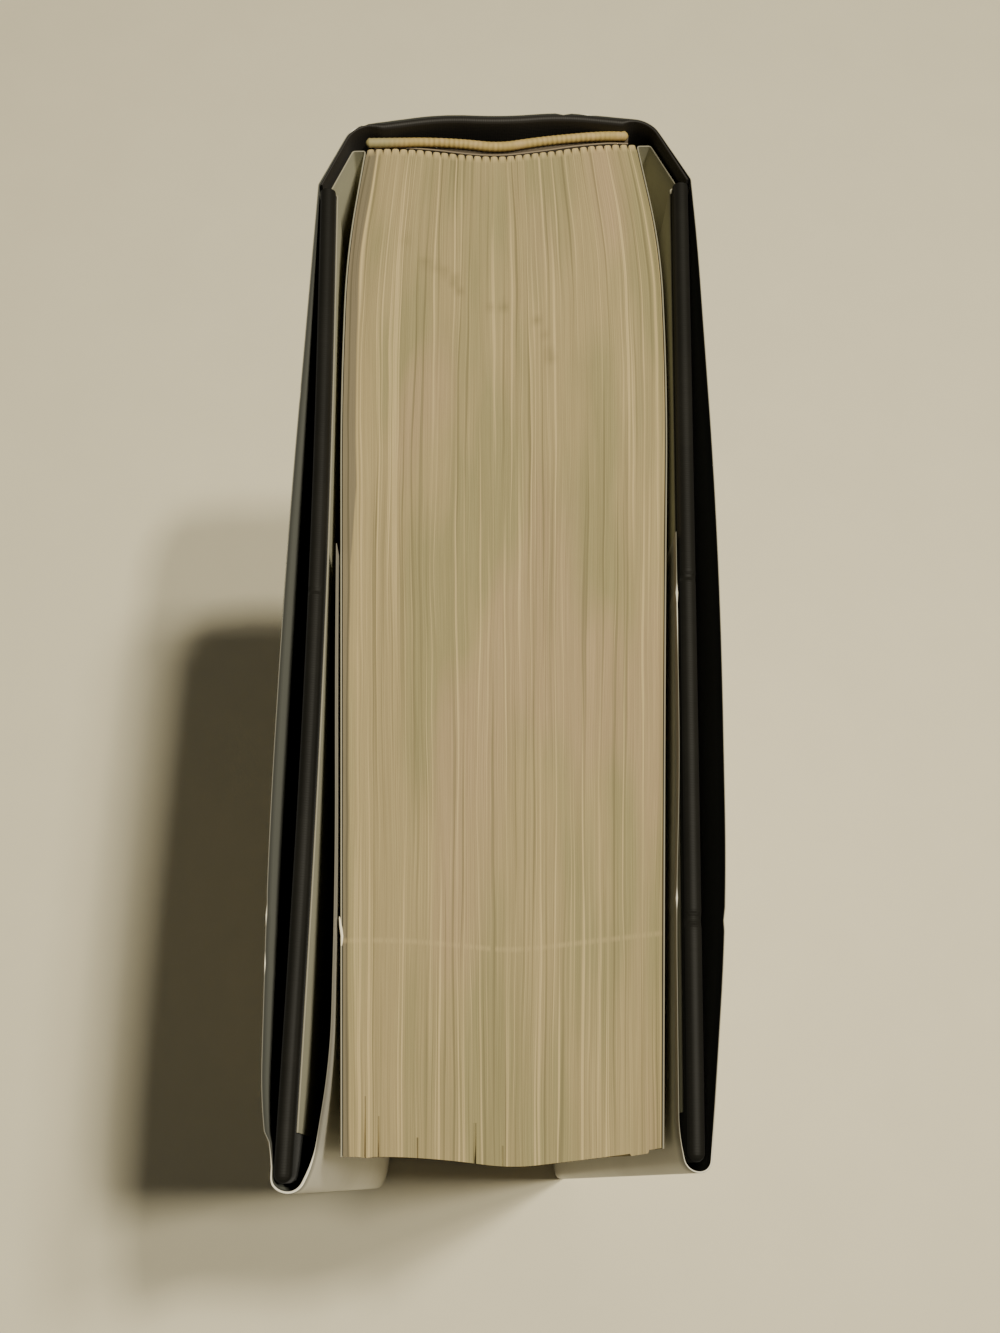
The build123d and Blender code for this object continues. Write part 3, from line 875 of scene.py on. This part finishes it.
class BookCoverSettings(bpy.types.PropertyGroup):
    """Sizes and colours of the case and its endpapers."""

    cloth: colour("Cloth", (0.0105, 0.0088, 0.0066), "Book cloth over boards and spine")
    # The cover cloth is the case cloth painted darker: painted shade that damps the highlight on the boards' rounded
    # edges
    cover: colour("Cover cloth", (0.0072, 0.0068, 0.0052), "Book cloth over the boards, painted darker to damp their highlight")
    board: colour("Board", (0.30, 0.28, 0.25), "Grey board")
    endpaper: colour("Endpaper", (0.46, 0.44, 0.31), "Endpapers and pastedowns")
    endpaper_edge: colour("Endpaper edge", (0.23, 0.21, 0.155), "Cut edge of the endpapers")
    tear: colour("Torn paper", (0.74, 0.67, 0.49), "Torn paper at the front endpaper's edge")
    mull: colour("Mull", (0.35, 0.30, 0.20), "Gauze over the folds")
    # The lining is brown kraft paper, painted darker still as painted shade between the bands and the folds
    lining: colour("Lining", (0.16, 0.125, 0.082), "Paper strip over the mull")


class BookPageSettings(bpy.types.PropertyGroup):
    """Sizes and colours of the pages."""

    gatherings: IntProperty(
        name="Gatherings", description="Folded gatherings across the spine", default=33, min=4, max=80
    )
    leaf: colour("Leaves", (0.338, 0.258, 0.122), "Cut edges of the leaves")
    # Shaded leaves: a greyer patch tone of the leaves, and the base of the painted shade in slits and gaps between
    # leaves
    shade: colour("Shaded leaves", (0.258, 0.217, 0.098), "Greyer leaves and the slits between gatherings")
    band: colour("Bands", (0.375, 0.27, 0.085), "Thread of the bands at head and tail")
    # The tape's dark brown is painted shade: the tape lies in shade under the bead
    tape: colour("Band tape", (0.11, 0.085, 0.056), "Glued tape that carries each band")


class BookStageSettings(bpy.types.PropertyGroup):
    """Floor, lights and camera."""

    floor: colour("Floor", (0.80, 0.735, 0.53), "Pale floor")
    lamp_power: FloatProperty(
        name="Lamp power", description="Power of the three overhead lamps, in watts", default=17.0, min=0.0
    )
    sky: FloatProperty(name="Sky", description="Strength of the even light from all sides", default=0.068, min=0.0)
    camera_place: FloatVectorProperty(
        name="Camera place", description="Where the photograph was taken from",
        default=(-6.8 * MM, -81.3 * MM, 438.0 * MM), size=3, subtype="TRANSLATION",
    )
    camera_turn: FloatProperty(
        name="Camera turn", description="Turn of the camera about the vertical",
        default=math.radians(0.63), subtype="ANGLE",
    )


# Pieces

def jacket_line():
    """Middle line of the jacket's paper, from the front flap round the spine to the back flap."""
    half = bpy.context.scene.book_jacket.thickness / 2

    def cover_part(side):
        panel = [
            (along * COVER_WIDTH, COVER_THICKNESS + half + out * JACKET_BULGE[side])
            for along, out in PANEL_SHARES[side]
        ]
        panel[0] = (-JOINT_CLEARANCE, panel[0][1] + JACKET_CLEARANCE)
        fold = [(COVER_WIDTH + along * JACKET_REACH, out * COVER_THICKNESS) for along, out in FOLD_SHARES[side]]
        flap = []
        for along_share, share in FLAP_SHARES[side]:
            along = COVER_WIDTH - along_share * FLAP_LENGTH
            inner = cover_point(side, along, 0)
            room = side * inner[0] - page_half(side, inner[1] - SLANT_SHARE * inner[0]) - LEAF_GAP - PAPER_THICKNESS
            near, far = PAPER_THICKNESS + half, room - FLAP_CLEARANCE - half
            flap.append((along, -near - share * (far - near)))
        return np.array([cover_point(side, along, out) for along, out in panel + fold + flap])

    spine, _ = shifted(CASE_CORNERS, CASE_BENDS, half)
    corners = np.vstack([cover_part(FRONT)[::-1], spine[1:-1], cover_part(BACK)])
    bends = easy_bends(corners)
    first = len(PANEL_SHARES[FRONT] + FOLD_SHARES[FRONT] + FLAP_SHARES[FRONT])
    last = first + len(spine) - 3
    bends[[first - 1, last - 1]] = SHOULDER_RADIUS + half
    bends[[first - 2, last]] = JOINT_CREASE
    return paced(rounded(corners, bends), 1.6 * MM, 9)


def joint_ends(side):
    """Shoulder and board edge of one joint, as points of the frame at half height."""
    shoulder, board = (CASE_CORNERS[1], CASE_CORNERS[0]) if side == FRONT else (CASE_CORNERS[-2], CASE_CORNERS[-1])
    return tuple((*(point + SHIFT), COVER_HEIGHT / 2) for point in (shoulder, board))


def join_cover(piece, side):
    """Bakes a piece's place into its mesh; the shoulder and board edge of its joint are read but not used."""
    start, end = joint_ends(side)
    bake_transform(piece)


def halves(line):
    """A line from front to back, cut in two at the middle of the spine."""
    middle = int(np.argmin(np.abs(line[0][:, 0]) + (line[0][:, 1] < SPINE_LINE)))
    return {FRONT: cut_line(line, 0, middle + 1), BACK: cut_line(line, middle, len(line[0]))}


class BuildBookJacket(bpy.types.Operator):
    """Dust jacket, in two halves that meet in the middle of the spine"""

    bl_idname = "book.jacket"
    bl_label = "Dust jacket"

    def execute(self, context):
        look = context.scene.book_jacket
        outside = jacket_paper("jacket outside", look.outside, look.edge, look.worn, 0.42)
        # The inside's dark tint is painted shade
        inside = jacket_paper("jacket inside", look.inside, look.edge, look.worn, 0.62)
        line = jacket_line()
        whole = line[2][-1]
        half = look.thickness / 2

        def billow(travel, height):
            """Slow waves along the jacket, none at head and tail: sine of height times two sines of travel."""
            share = np.clip(height / COVER_HEIGHT, 0, 1)
            turn = travel / whole * math.pi
            wave = np.sin(turn * BILLOW_WAVES + 0.6) + 0.5 * np.sin(turn * RIPPLE_WAVES + 3 * share)
            off_spine = np.abs(travel - whole / 2)
            rise = np.clip((off_spine - BILLOW_FROM) / BILLOW_EASE, 0, 1)
            fade = np.clip((BILLOW_TO - off_spine) / BILLOW_FADE, 0, 1)
            return look.billow * np.sin(math.pi * share) ** 2 * wave * rise * fade

        def nearest(x, y):
            """Travel at which the jacket passes a point of the frame."""
            gaps = np.linalg.norm(line[0] + SHIFT - np.array([x, y]), axis=1)
            return line[2][int(np.argmin(gaps))]

        crease_start, crease_end = nearest(*CREASE_FROM), nearest(*CREASE_TO)

        def shaped(travel, height):
            """The billow, and at the head of the front fold a crease that steps the paper in towards the board."""
            low, high = sorted((crease_start, crease_end))
            lip = CREASE_LIP_SHARE * (high - low)
            on = np.clip((travel - low) / lip, 0, 1) * np.clip((high - travel) / (CREASE_BACK_SHARE * lip), 0, 1)
            near_head = np.clip(1 - (COVER_HEIGHT - height) / CREASE_REACH, 0, 1) ** 2
            return billow(travel, height) - CREASE_DEPTH * on * near_head

        for side, part in halves(line).items():
            name = SIDE_NAME[side] + "_jacket_half"
            worn = sum(amount * ridge(part[2], nearest(x, y), reach) for x, y, amount, reach in WORN_EDGES)
            drop = sum(depth * ridge(part[2], nearest(x, y), reach) for x, y, depth, reach in JACKET_CHIPS)
            ragged = FRAY_DEPTH * np.sin(part[2] / FRAY_PITCH) * np.sin(part[2] / FRAY_SPREAD + 1)
            thick = half + worn
            piece = sheet_piece(
                name, part, -thick, thick, 0, COVER_HEIGHT - np.abs(drop + ragged), 60, relief=shaped, rim_steps=3
            )
            paleness = sum(ridge(part[2], nearest(x, y), 1.5 * reach) for x, y, _, reach in WORN_EDGES)
            around = len(piece.data.vertices) // len(part[2])
            mark(piece, "Worn", np.repeat(np.clip(paleness, 0, 1), around))
            dress(piece, outside, inside)
            join_cover(piece, side)
            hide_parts("jacket_" + SIDE_NAME[side], "jacket_spine")
        return {"FINISHED"}


class BuildBookCase(bpy.types.Operator):
    """Cloth over the spine and both joints, boards, their cloth and the card of the spine"""

    bl_idname = "book.case"
    bl_label = "Case"

    def execute(self, context):
        look = context.scene.book_cover
        cloth = book_cloth("case cloth", look.cloth, 0.28)
        # Darker copy of the case cloth: painted shade that damps the boards' highlight
        cover_cloth = book_cloth("cover cloth", look.cover, 0.14)
        line = paced(rounded(CASE_CORNERS, CASE_BENDS), 1.2 * MM, 8)
        for side, part in halves(line).items():
            shoulder = CASE_CORNERS[1] if side == FRONT else CASE_CORNERS[-2]
            inside = np.sign(np.abs(shoulder[0]) - np.abs(part[0][:, 0]))
            from_shoulder = np.linalg.norm(part[0] - shoulder, axis=1) * inside
            over_card = np.clip((from_shoulder - INLAY_INSET) / INLAY_EASE + 1.5, 0, 1)
            depth = 2 * CLOTH_THICKNESS + INLAY_THICKNESS * over_card
            piece = sheet_piece(
                SIDE_NAME[side] + "_case_cloth", part, -depth, 0, 0, COVER_HEIGHT, 40, rim=depth / 2, rim_steps=7
            )
            dress(piece, cloth, cloth)
            join_cover(piece, side)
            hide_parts("spine_cloth")
        board = pressed_board("grey board", look.board)
        for side in (FRONT, BACK):
            for layer, inset, material in (("cover_cloth", 0.0, cover_cloth), ("board", CLOTH_THICKNESS, board)):
                node = SIDE_NAME[side] + "_" + layer
                piece = cover_slab(node + "_bowed", side, inset)
                dress(piece, material, material)
                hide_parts(node)
        dress(frame["nodes"]["spine_inlay"], board)
        return {"FINISHED"}


def cover_bow(side, along):
    """How far a cover bows in towards the pages: half a sine wave, and a lean that grows with the square of the way."""
    share = np.clip(along / COVER_WIDTH, 0, 1)
    return BOARD_BOW[side] * np.sin(math.pi * share) + BOARD_LEAN[side] * share ** 2


def cover_line(side, along, out):
    """Line along a cover, outward on its left, at a distance out from its inner face."""
    out = out - cover_bow(side, along)
    order = slice(None, None, -1) if side == FRONT else slice(None)
    placed = cover_point(side, along, out)[order]
    travel = summed(step_lengths(placed))
    return placed, left_of(unit(np.gradient(placed, travel, axis=0))), travel


def cover_slab(name, side, inset):
    """Board shape with half-round edges: half thickness at the fore-edge follows a quarter circle."""
    half = COVER_THICKNESS / 2 - inset
    flat_end = COVER_WIDTH - inset - half
    flat_along = np.linspace(0, flat_end, 70)
    knocks = [place + reach * np.linspace(-1.2, 1.2, 9) for _, place, reach, _ in BOARD_DENTS]
    flat_along = np.unique(np.concatenate([flat_along, *knocks]).round(6))
    along = np.concatenate([flat_along, flat_end + half * np.sin(np.linspace(0, math.pi / 2, 9)[1:])])
    thin = np.sqrt(np.clip(half ** 2 - np.clip(along - flat_end, 0, None) ** 2, (0.02 * MM) ** 2, None))
    line = cover_line(side, along, np.full(len(along), COVER_THICKNESS / 2))
    dent = sum(depth * ridge(along, place, reach) * (on == side) for on, place, reach, depth in BOARD_DENTS)
    if side == FRONT:
        thin, dent = thin[::-1], dent[::-1]
    high = COVER_HEIGHT - inset - (half - thin) - dent
    low = inset + (half - thin)
    return sheet_piece(name, line, -thin, thin, low, high, 48, COVER_BODY[side], rim=thin, rim_steps=7)


def leaf_route(side):
    """Corners of an endpaper: board edge, joint, fold at the shoulder of the pages, then down the pages."""
    half = PAPER_THICKNESS / 2
    depth = 2 * CLOTH_THICKNESS + MULL_THICKNESS + HINGE_SLACK + half
    level = FOLD_LINE - half
    edge, joint_corner = joint_meet(side, depth, level)
    sides = page_side(side)
    sides[-1, 1] += FORE_SHAPE[0 if side == FRONT else -1][1]
    leaf = shifted(sides, easy_bends(sides), side * (LEAF_GAP + half))[0]
    shoulder = level_point(leaf[0], leaf[1] - leaf[0], level)
    board = [cover_point(side, 0, -half), cover_point(side, -1.2 * MM, -half)]
    corners = np.vstack([board, edge, joint_corner, shoulder, leaf[1:]])
    bends = easy_bends(corners)
    bends[2:4] = 2 * FOLD_RADIUS, FOLD_RADIUS
    return corners, bends, shoulder


class BuildBookEndpapers(bpy.types.Operator):
    """Loose leaf, joint strip and pastedown of the endpaper inside each cover"""

    bl_idname = "book.endpapers"
    bl_label = "Endpapers"

    def execute(self, context):
        look = context.scene.book_cover
        paper = plain_paper("endpaper", look.endpaper, look.endpaper_edge)
        half = PAPER_THICKNESS / 2
        for side in (FRONT, BACK):
            corners, bends, shoulder = leaf_route(side)
            line = paced(rounded(corners, bends), 1.5 * MM, 10)
            fold = int(np.argmin(np.linalg.norm(line[0] - shoulder, axis=1)))
            node = SIDE_NAME[side] + "_flyleaf"
            strip = sheet_piece(
                SIDE_NAME[side] + "_endpaper_joint", cut_line(line, 0, fold + 1), -half, half, SQUARE, PAGE_TOP, 32
            )
            leaf = sheet_piece(
                SIDE_NAME[side] + "_endpaper_leaf", cut_line(line, fold, len(line[0])), -half, half, SQUARE, PAGE_TOP,
                32, "root", lean=fore_lean,
            )
            for piece in (strip, leaf):
                dress(piece, paper, paper)
                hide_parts(node)
            join_cover(strip, side)
            along = np.linspace(0, COVER_WIDTH - PASTEDOWN_MARGIN, 90)
            board_line = cover_line(side, along, np.full(len(along), -half))
            length_of = board_line[2][-1]
            seen = (board_line[2] if side == BACK else length_of - board_line[2])[:, None]

            def sunk(travel, height):
                """The paper sinks between the turned-in edges of the cloth: a smooth step at their margin."""
                inside = np.minimum(np.minimum(height, COVER_HEIGHT - height) - TURN_IN, COVER_WIDTH - TURN_IN - seen)
                return PASTEDOWN_SINK * np.clip(inside / SINK_EASE + 0.5, 0, 1)

            pasted = sheet_piece(
                SIDE_NAME[side] + "_endpaper_board", board_line, -half, half, SQUARE, PAGE_TOP, 140,
                COVER_BODY[side], relief=sunk,
            )
            dress(pasted, paper, paper)
            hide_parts(SIDE_NAME[side] + "_pastedown")
        tear = paced(np.array(TEAR_LINE) - SHIFT, 0.3 * MM, 10)
        thin = TEAR_THICKNESS / 2 * np.sqrt(np.sin(np.linspace(0.08, math.pi - 0.08, len(tear[0]))))
        sliver = sheet_piece(
            "endpaper_tear", tear, -thin, thin, PAGE_TOP - TEAR_DEPTH, PAGE_TOP + TEAR_RISE, 6, "root", rim_steps=3
        )
        dress(sliver, plain_paper("torn paper", look.tear, look.tear))
        return {"FINISHED"}


class BuildBookMull(bpy.types.Operator):
    """Gauze over the folds and into both joints, and the paper strip on it"""

    bl_idname = "book.mull"
    bl_label = "Mull and lining"

    def execute(self, context):
        look = context.scene.book_cover
        corners = fold_route(SPINE_HALF)
        over_folds, fold_bends = shifted(corners, easy_bends(corners), MULL_FACE)
        level = SPINE_LINE + MULL_FACE
        front_end, front_corner = joint_meet(FRONT, 2 * CLOTH_THICKNESS, level)
        back_end, back_corner = joint_meet(BACK, 2 * CLOTH_THICKNESS, level)
        route = np.vstack([front_end, front_corner, over_folds[1:-1], back_corner, back_end])
        tight = [2 * MULL_THICKNESS]
        line = paced(rounded(route, np.concatenate([tight, fold_bends, tight])), 1.5 * MM, 10)
        material = gauze("mull", look.mull)
        bottom = SQUARE + MULL_MARGIN
        for side, part in halves(line).items():
            piece = sheet_piece(
                SIDE_NAME[side] + "_mull", part, -MULL_THICKNESS, 0, bottom, COVER_HEIGHT - bottom, 32
            )
            dress(piece, material, material)
            join_cover(piece, side)
            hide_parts("spine_mull")
        corners = fold_route(SPINE_HALF - BAND_MARGIN)
        lining_line = paced(rounded(corners, easy_bends(corners)), 1.2 * MM, 6)
        strip = sheet_piece("lining_strip", lining_line, MULL_FACE, LINING_FACE, SQUARE, PAGE_TOP, 40, "root")
        # Brown kraft paper, darkened as painted shade under the bands
        lining = plain_paper("lining paper", look.lining, darker(look.lining, 1.5))
        dress(strip, lining, lining)
        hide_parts("spine_lining")
        return {"FINISHED"}


class BuildBookBands(bpy.types.Operator):
    """Woven bands at head and tail, each a wound bead on a glued tape"""

    bl_idname = "book.bands"
    bl_label = "Head and tail bands"

    def execute(self, context):
        look = context.scene.book_pages
        thread = band_thread("band thread", look.band)
        # The tape's dark tint is painted shade under the bead
        cloth = plain_paper("band tape", look.tape, look.tape)
        beads = bead_route(SPINE_HALF - BAND_MARGIN)
        bead_line = paced(rounded(beads, easy_bends(beads)), 0.1 * MM, 6)
        folds = fold_route(SPINE_HALF - BAND_MARGIN)
        tape_line = paced(rounded(folds, easy_bends(folds)), 1.0 * MM, 6)
        bead_x, bead_y = bead_line[0].T
        set_back = np.interp(tape_line[0][:, 0], bead_x, bead_y) - tape_line[0][:, 1] - LINING_FACE

        def wound(travel, angle):
            """Radius of the bead: a ridge for each turn of thread, its twist carried round the cord."""
            uneven = 1.2 * np.sin(travel / (2.9 * MM)) + 0.7 * np.sin(travel / (1.3 * MM) + 1)
            turn = 0.5 + 0.5 * np.cos(2 * math.pi * travel / THREAD_PITCH + uneven + 0.6 * np.sin(angle))
            swell = 0.04 * np.sin(travel / (3.7 * MM) + 2)
            return BEAD_VISIBLE / 2 * (0.9 + swell + 0.05 * turn)

        for name, page_end, way in (("headband", PAGE_TOP, 1), ("tailband", SQUARE, -1)):
            height = page_end + way * BEAD_DIAMETER / 2
            bead = tube_piece(name + "_bead", bead_line, height, wound, "root")
            low, high = sorted((page_end - way * TAPE_HEIGHT, height))

            def lean(travel, level):
                """The tape leans back to the bead over its last stretch: share of the way, squared."""
                share = np.clip(1 - np.abs(level - height) / TAPE_LEAN, 0, 1)
                return set_back[:, None] * share ** 2

            tape = sheet_piece(name + "_tape", tape_line, LINING_FACE, BAND_FACE, low, high, 40, "root", relief=lean)
            dress(tape, cloth, cloth)
            dress(bead, thread)
            for piece in (bead, tape):
                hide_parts(name)
        return {"FINISHED"}


def read_at(points, shares):
    """Points of a line at shares of its length."""
    travel = summed(step_lengths(points))
    return np.stack([np.interp(shares * travel[-1], travel, points[:, axis]) for axis in (0, 1)], axis=1)


def page_plan(share, down):
    """Plan of the head of the pages: a sheet ruled between its four edges.

    point = the blend of the two sides + the blend of folds and fore-edge - the blend of the four corners."""
    fore = np.array([plan(x * FORE_HALF, FORE_LINE + y) for x, y in FORE_SHAPE])
    fore = read_at(rounded(fore, easy_bends(fore), 24), share)
    folds = fold_route(SPINE_HALF)
    folds = read_at(rounded(folds, easy_bends(folds), 40), share)
    sides = []
    for side, end in ((FRONT, fore[0]), (BACK, fore[-1])):
        corners = page_side(side)
        corners[-1] = end
        sides.append(read_at(rounded(corners, easy_bends(corners)), down)[:, None])
    a, t = share[None, :, None], down[:, None, None]
    ruled = (1 - a) * sides[0] + a * sides[1]
    ends = (1 - t) * folds[None] + t * fore[None]
    corners = (1 - t) * ((1 - a) * folds[0] + a * folds[-1]) + t * ((1 - a) * fore[0] + a * fore[-1])
    return ruled + ends - corners


def fore_lean(points, height):
    """How far the leaves lean in towards the spine low down: the slant * the cube of the way to the fore-edge."""
    across = np.clip(0.5 + points[..., 0] / (2 * FORE_HALF), 0, 1)
    slant = FORE_SLANT[FRONT] + (FORE_SLANT[BACK] - FORE_SLANT[FRONT]) * across
    way = np.clip((SPINE_LINE - points[..., 1]) / PAGE_WIDTH, 0, 1)
    return slant * way ** 3 * (PAGE_TOP - height) / (PAGE_TOP - SQUARE)


def ridge(value, centre, width):
    """Soft bump of height 1: a cosine bell about a centre."""
    return 0.5 + 0.5 * np.cos(math.pi * np.clip((value - centre) / width, -1, 1))


class BuildBookPages(bpy.types.Operator):
    """The pages: one closed block with scalloped gatherings and trimmed head, tail and fore-edge"""

    bl_idname = "book.pages"
    bl_label = "Pages"

    def execute(self, context):
        look = context.scene.book_pages
        count = look.gatherings
        share = np.linspace(0, 1, count * GATHERING_STEPS + 1)
        down = np.linspace(0, 1, HEAD_STEPS) ** HEAD_CROWDING
        flat = page_plan(share, down)
        travel = summed(step_lengths(flat[:, len(share) // 2]))
        signature = share * count
        fold = np.abs(np.sin(math.pi * share * count))
        bead = np.sqrt(np.clip(1 - (1 - fold) ** 2, 0, 1))
        near_fold = np.clip(1 - travel / SCALLOP_REACH, 0, 1)[:, None] ** 2
        flat[..., 1] += SCALLOP_DEPTH * bead * near_fold
        to_fore = travel - travel[-1]
        step = PROUD_DEPTH * (share > PROUD_FROM) - SHORT_DEPTH * (share > SHORT_FROM)
        step = step + LOOSE_DEPTH * ridge(share, LOOSE_PLACE, LOOSE_WIDTH)
        flat[..., 1] -= step * np.clip(to_fore / STEP_REACH + 1, 0, 1)[:, None] ** 2
        flat += SHIFT

        rolled = FOLD_ROLL * (1 - bead) * near_fold
        waves = sum(
            weight * np.sin(signature * pace + phase + 0.8 * np.sin(travel[:, None] * 30 + phase))
            for weight, pace, phase in LEAF_WAVES
        )
        split = sum(
            depth * ridge(signature, place, width)[None, :] * np.clip(to_fore / reach + 1, 0, 1)[:, None]
            for place, width, depth, reach in PAGE_SPLITS
        )
        head = PAGE_TOP - HEAD_ROOM + waves - rolled - split
        tail = np.full(head.shape, SQUARE) + rolled

        parts, faces, layout, start = [], [], [], 0

        def keep(points, outward, lay_u, lay_v):
            """Adds one wall of the block, a grid of points, to the lists."""
            nonlocal start
            grid = quads(*points.shape[:2])
            parts.append(points.reshape(-1, 3))
            faces.append((grid if outward else grid[:, ::-1]) + start)
            spread = [np.broadcast_to(value, points.shape[:2]) for value in (lay_u, lay_v)]
            layout.append(np.stack(spread, axis=-1).reshape(-1, 2))
            start += points.shape[0] * points.shape[1]

        low_flat = flat.copy()
        low_flat[..., 1] += fore_lean(flat, SQUARE)

        def wall(low_line, high_line, low, high, outward, lay_u):
            """Upright wall of the block between the edges of its tail and its head."""
            rise = np.linspace(0, 1, WALL_STEPS)[:, None]
            heights = low + (high - low) * rise
            lines = low_line + (high_line - low_line) * rise[..., None]
            keep(np.concatenate([lines, heights[..., None]], axis=-1), outward, lay_u, 0.2 + PAGE_TOP - heights)

        for at, level, outward in ((flat, head, False), (low_flat, tail, True)):
            keep(np.concatenate([at, level[..., None]], axis=-1), outward, signature[None, :], travel[:, None])
        wall(low_flat[0], flat[0], tail[0], head[0], False, signature[None, :])
        wall(low_flat[-1], flat[-1], tail[-1], head[-1], True, signature[None, :])
        wall(low_flat[:, 0], flat[:, 0], tail[:, 0], head[:, 0], True, 0.3)
        wall(low_flat[:, -1], flat[:, -1], tail[:, -1], head[:, -1], False, 0.3)
        points = np.vstack(parts)
        piece = add_piece("pages", points, np.vstack(faces).tolist(), None, np.vstack(layout))
        marks = sum(
            strength * np.clip(1 - np.linalg.norm(points[:, :2] - (x, y), axis=1) / reach, 0, 1)
            for x, y, reach, strength in SCUFFS
        ) * (points[:, 2] > COVER_HEIGHT / 2)
        mark(piece, "Scuff", marks)
        weld(piece)
        dress(piece, leaf_edges("leaf edges", look.leaf, look.shade))
        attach(piece, "root")
        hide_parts("text_block")
        return {"FINISHED"}


def weld(piece):
    """Merges the points where the walls of a piece meet, and turns all its faces outwards."""
    mesh = bmesh.new()
    mesh.from_mesh(piece.data)
    bmesh.ops.remove_doubles(mesh, verts=mesh.verts, dist=WELD_REACH)
    bmesh.ops.recalc_face_normals(mesh, faces=mesh.faces)
    mesh.to_mesh(piece.data)
    mesh.free()
    piece.data.shade_smooth()
    piece.data.set_sharp_from_angle(angle=math.radians(SHARP_ANGLE))


# Stage

class BuildBookStage(bpy.types.Operator):
    """Pale floor, three soft lamps overhead with even light round them, and the photograph's camera"""

    bl_idname = "book.stage"
    bl_label = "Stage"

    def execute(self, context):
        look = context.scene.book_stage
        scene = context.scene
        corners = FLOOR_HALF * np.array([(-1, -1, 0), (1, -1, 0), (1, 1, 0), (-1, 1, 0)])
        floor = add_piece("floor", corners, [(0, 1, 2, 3)], None)
        material, add = finish("floor paint")
        grain = noise(add, spot(add), 40.0, 4.0, 0.6)
        tone = blended(add, ramp(add, grain, 0.3, 0.7), opaque(look.floor), darker(look.floor, 0.97))
        done(add, tone, 0.8)
        dress(floor, material)

        for name, place, size_x, size_y, share in LAMPS:
            lamp_data = bpy.data.lights.new(name, "AREA")
            lamp_data.shape = "RECTANGLE"
            lamp_data.size, lamp_data.size_y = size_x, size_y
            lamp_data.energy = look.lamp_power * share
            lamp_data.color = LAMP_COLOUR
            lamp = bpy.data.objects.new(name, lamp_data)
            lamp.location = place
            lamp.rotation_euler = Vector(place).to_track_quat("Z", "Y").to_euler()
            scene.collection.objects.link(lamp)

        world = bpy.data.worlds.new("even light")
        world.use_nodes = True
        background = world.node_tree.nodes["Background"]
        background.inputs["Color"].default_value = opaque(SKY_COLOUR)
        background.inputs["Strength"].default_value = look.sky
        scene.world = world

        offset = np.array(NADIR_PIXEL) - FRAME_CENTRE
        down = unit(np.array([*offset, FOCAL_PIXELS]))
        up = -down
        away = unit(np.array([0.0, -1.0, 0.0]) + up[1] * up)
        right = np.cross(away, up)
        turn = look.camera_turn
        axes = np.stack([
            math.cos(turn) * right - math.sin(turn) * away,
            math.cos(turn) * away + math.sin(turn) * right,
            up,
        ], axis=1)
        camera_data = bpy.data.cameras.new("photo camera")
        camera_data.sensor_width = SENSOR_WIDTH
        camera_data.lens = SENSOR_WIDTH * FOCAL_PIXELS / FRAME_LONG_SIDE
        camera_data.clip_start = 0.01
        camera = bpy.data.objects.new("photo camera", camera_data)
        turned = Matrix(np.stack([axes[0], -axes[1], -axes[2]], axis=1).tolist()).to_4x4()
        camera.matrix_world = Matrix.Translation(look.camera_place) @ turned
        scene.collection.objects.link(camera)
        scene.camera = camera
        return {"FINISHED"}


class BookPanel(bpy.types.Panel):
    """Builders of the book, one button each, with their settings"""

    bl_idname = "VIEW3D_PT_book"
    bl_label = "Hardcover book"
    bl_space_type = "VIEW_3D"
    bl_region_type = "UI"
    bl_category = "Book"

    def draw(self, context):
        for operator in OPERATORS:
            self.layout.operator(operator.bl_idname)
        for name, group in SETTINGS.items():
            box = self.layout.box()
            for key in group.__annotations__:
                box.prop(getattr(context.scene, name), key)


OPERATORS = (
    BuildBookStage, BuildBookPages, BuildBookMull, BuildBookBands, BuildBookEndpapers, BuildBookCase, BuildBookJacket,
)
SETTINGS = {
    "book_jacket": BookJacketSettings,
    "book_cover": BookCoverSettings,
    "book_pages": BookPageSettings,
    "book_stage": BookStageSettings,
}
CLASSES = (*SETTINGS.values(), *OPERATORS, BookPanel)


def register():
    """Makes the classes and settings known to Blender."""
    for item in CLASSES:
        bpy.utils.register_class(item)
    for name, group in SETTINGS.items():
        setattr(bpy.types.Scene, name, PointerProperty(type=group))


def unregister():
    """Takes the settings and classes away again."""
    for name in SETTINGS:
        delattr(bpy.types.Scene, name)
    for item in reversed(CLASSES):
        bpy.utils.unregister_class(item)


def main():
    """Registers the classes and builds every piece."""
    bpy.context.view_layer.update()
    register()
    bpy.ops.book.stage()
    bpy.ops.book.pages()
    bpy.ops.book.mull()
    bpy.ops.book.bands()
    bpy.ops.book.endpapers()
    bpy.ops.book.case()
    bpy.ops.book.jacket()


if __name__ == "__main__":
    main()
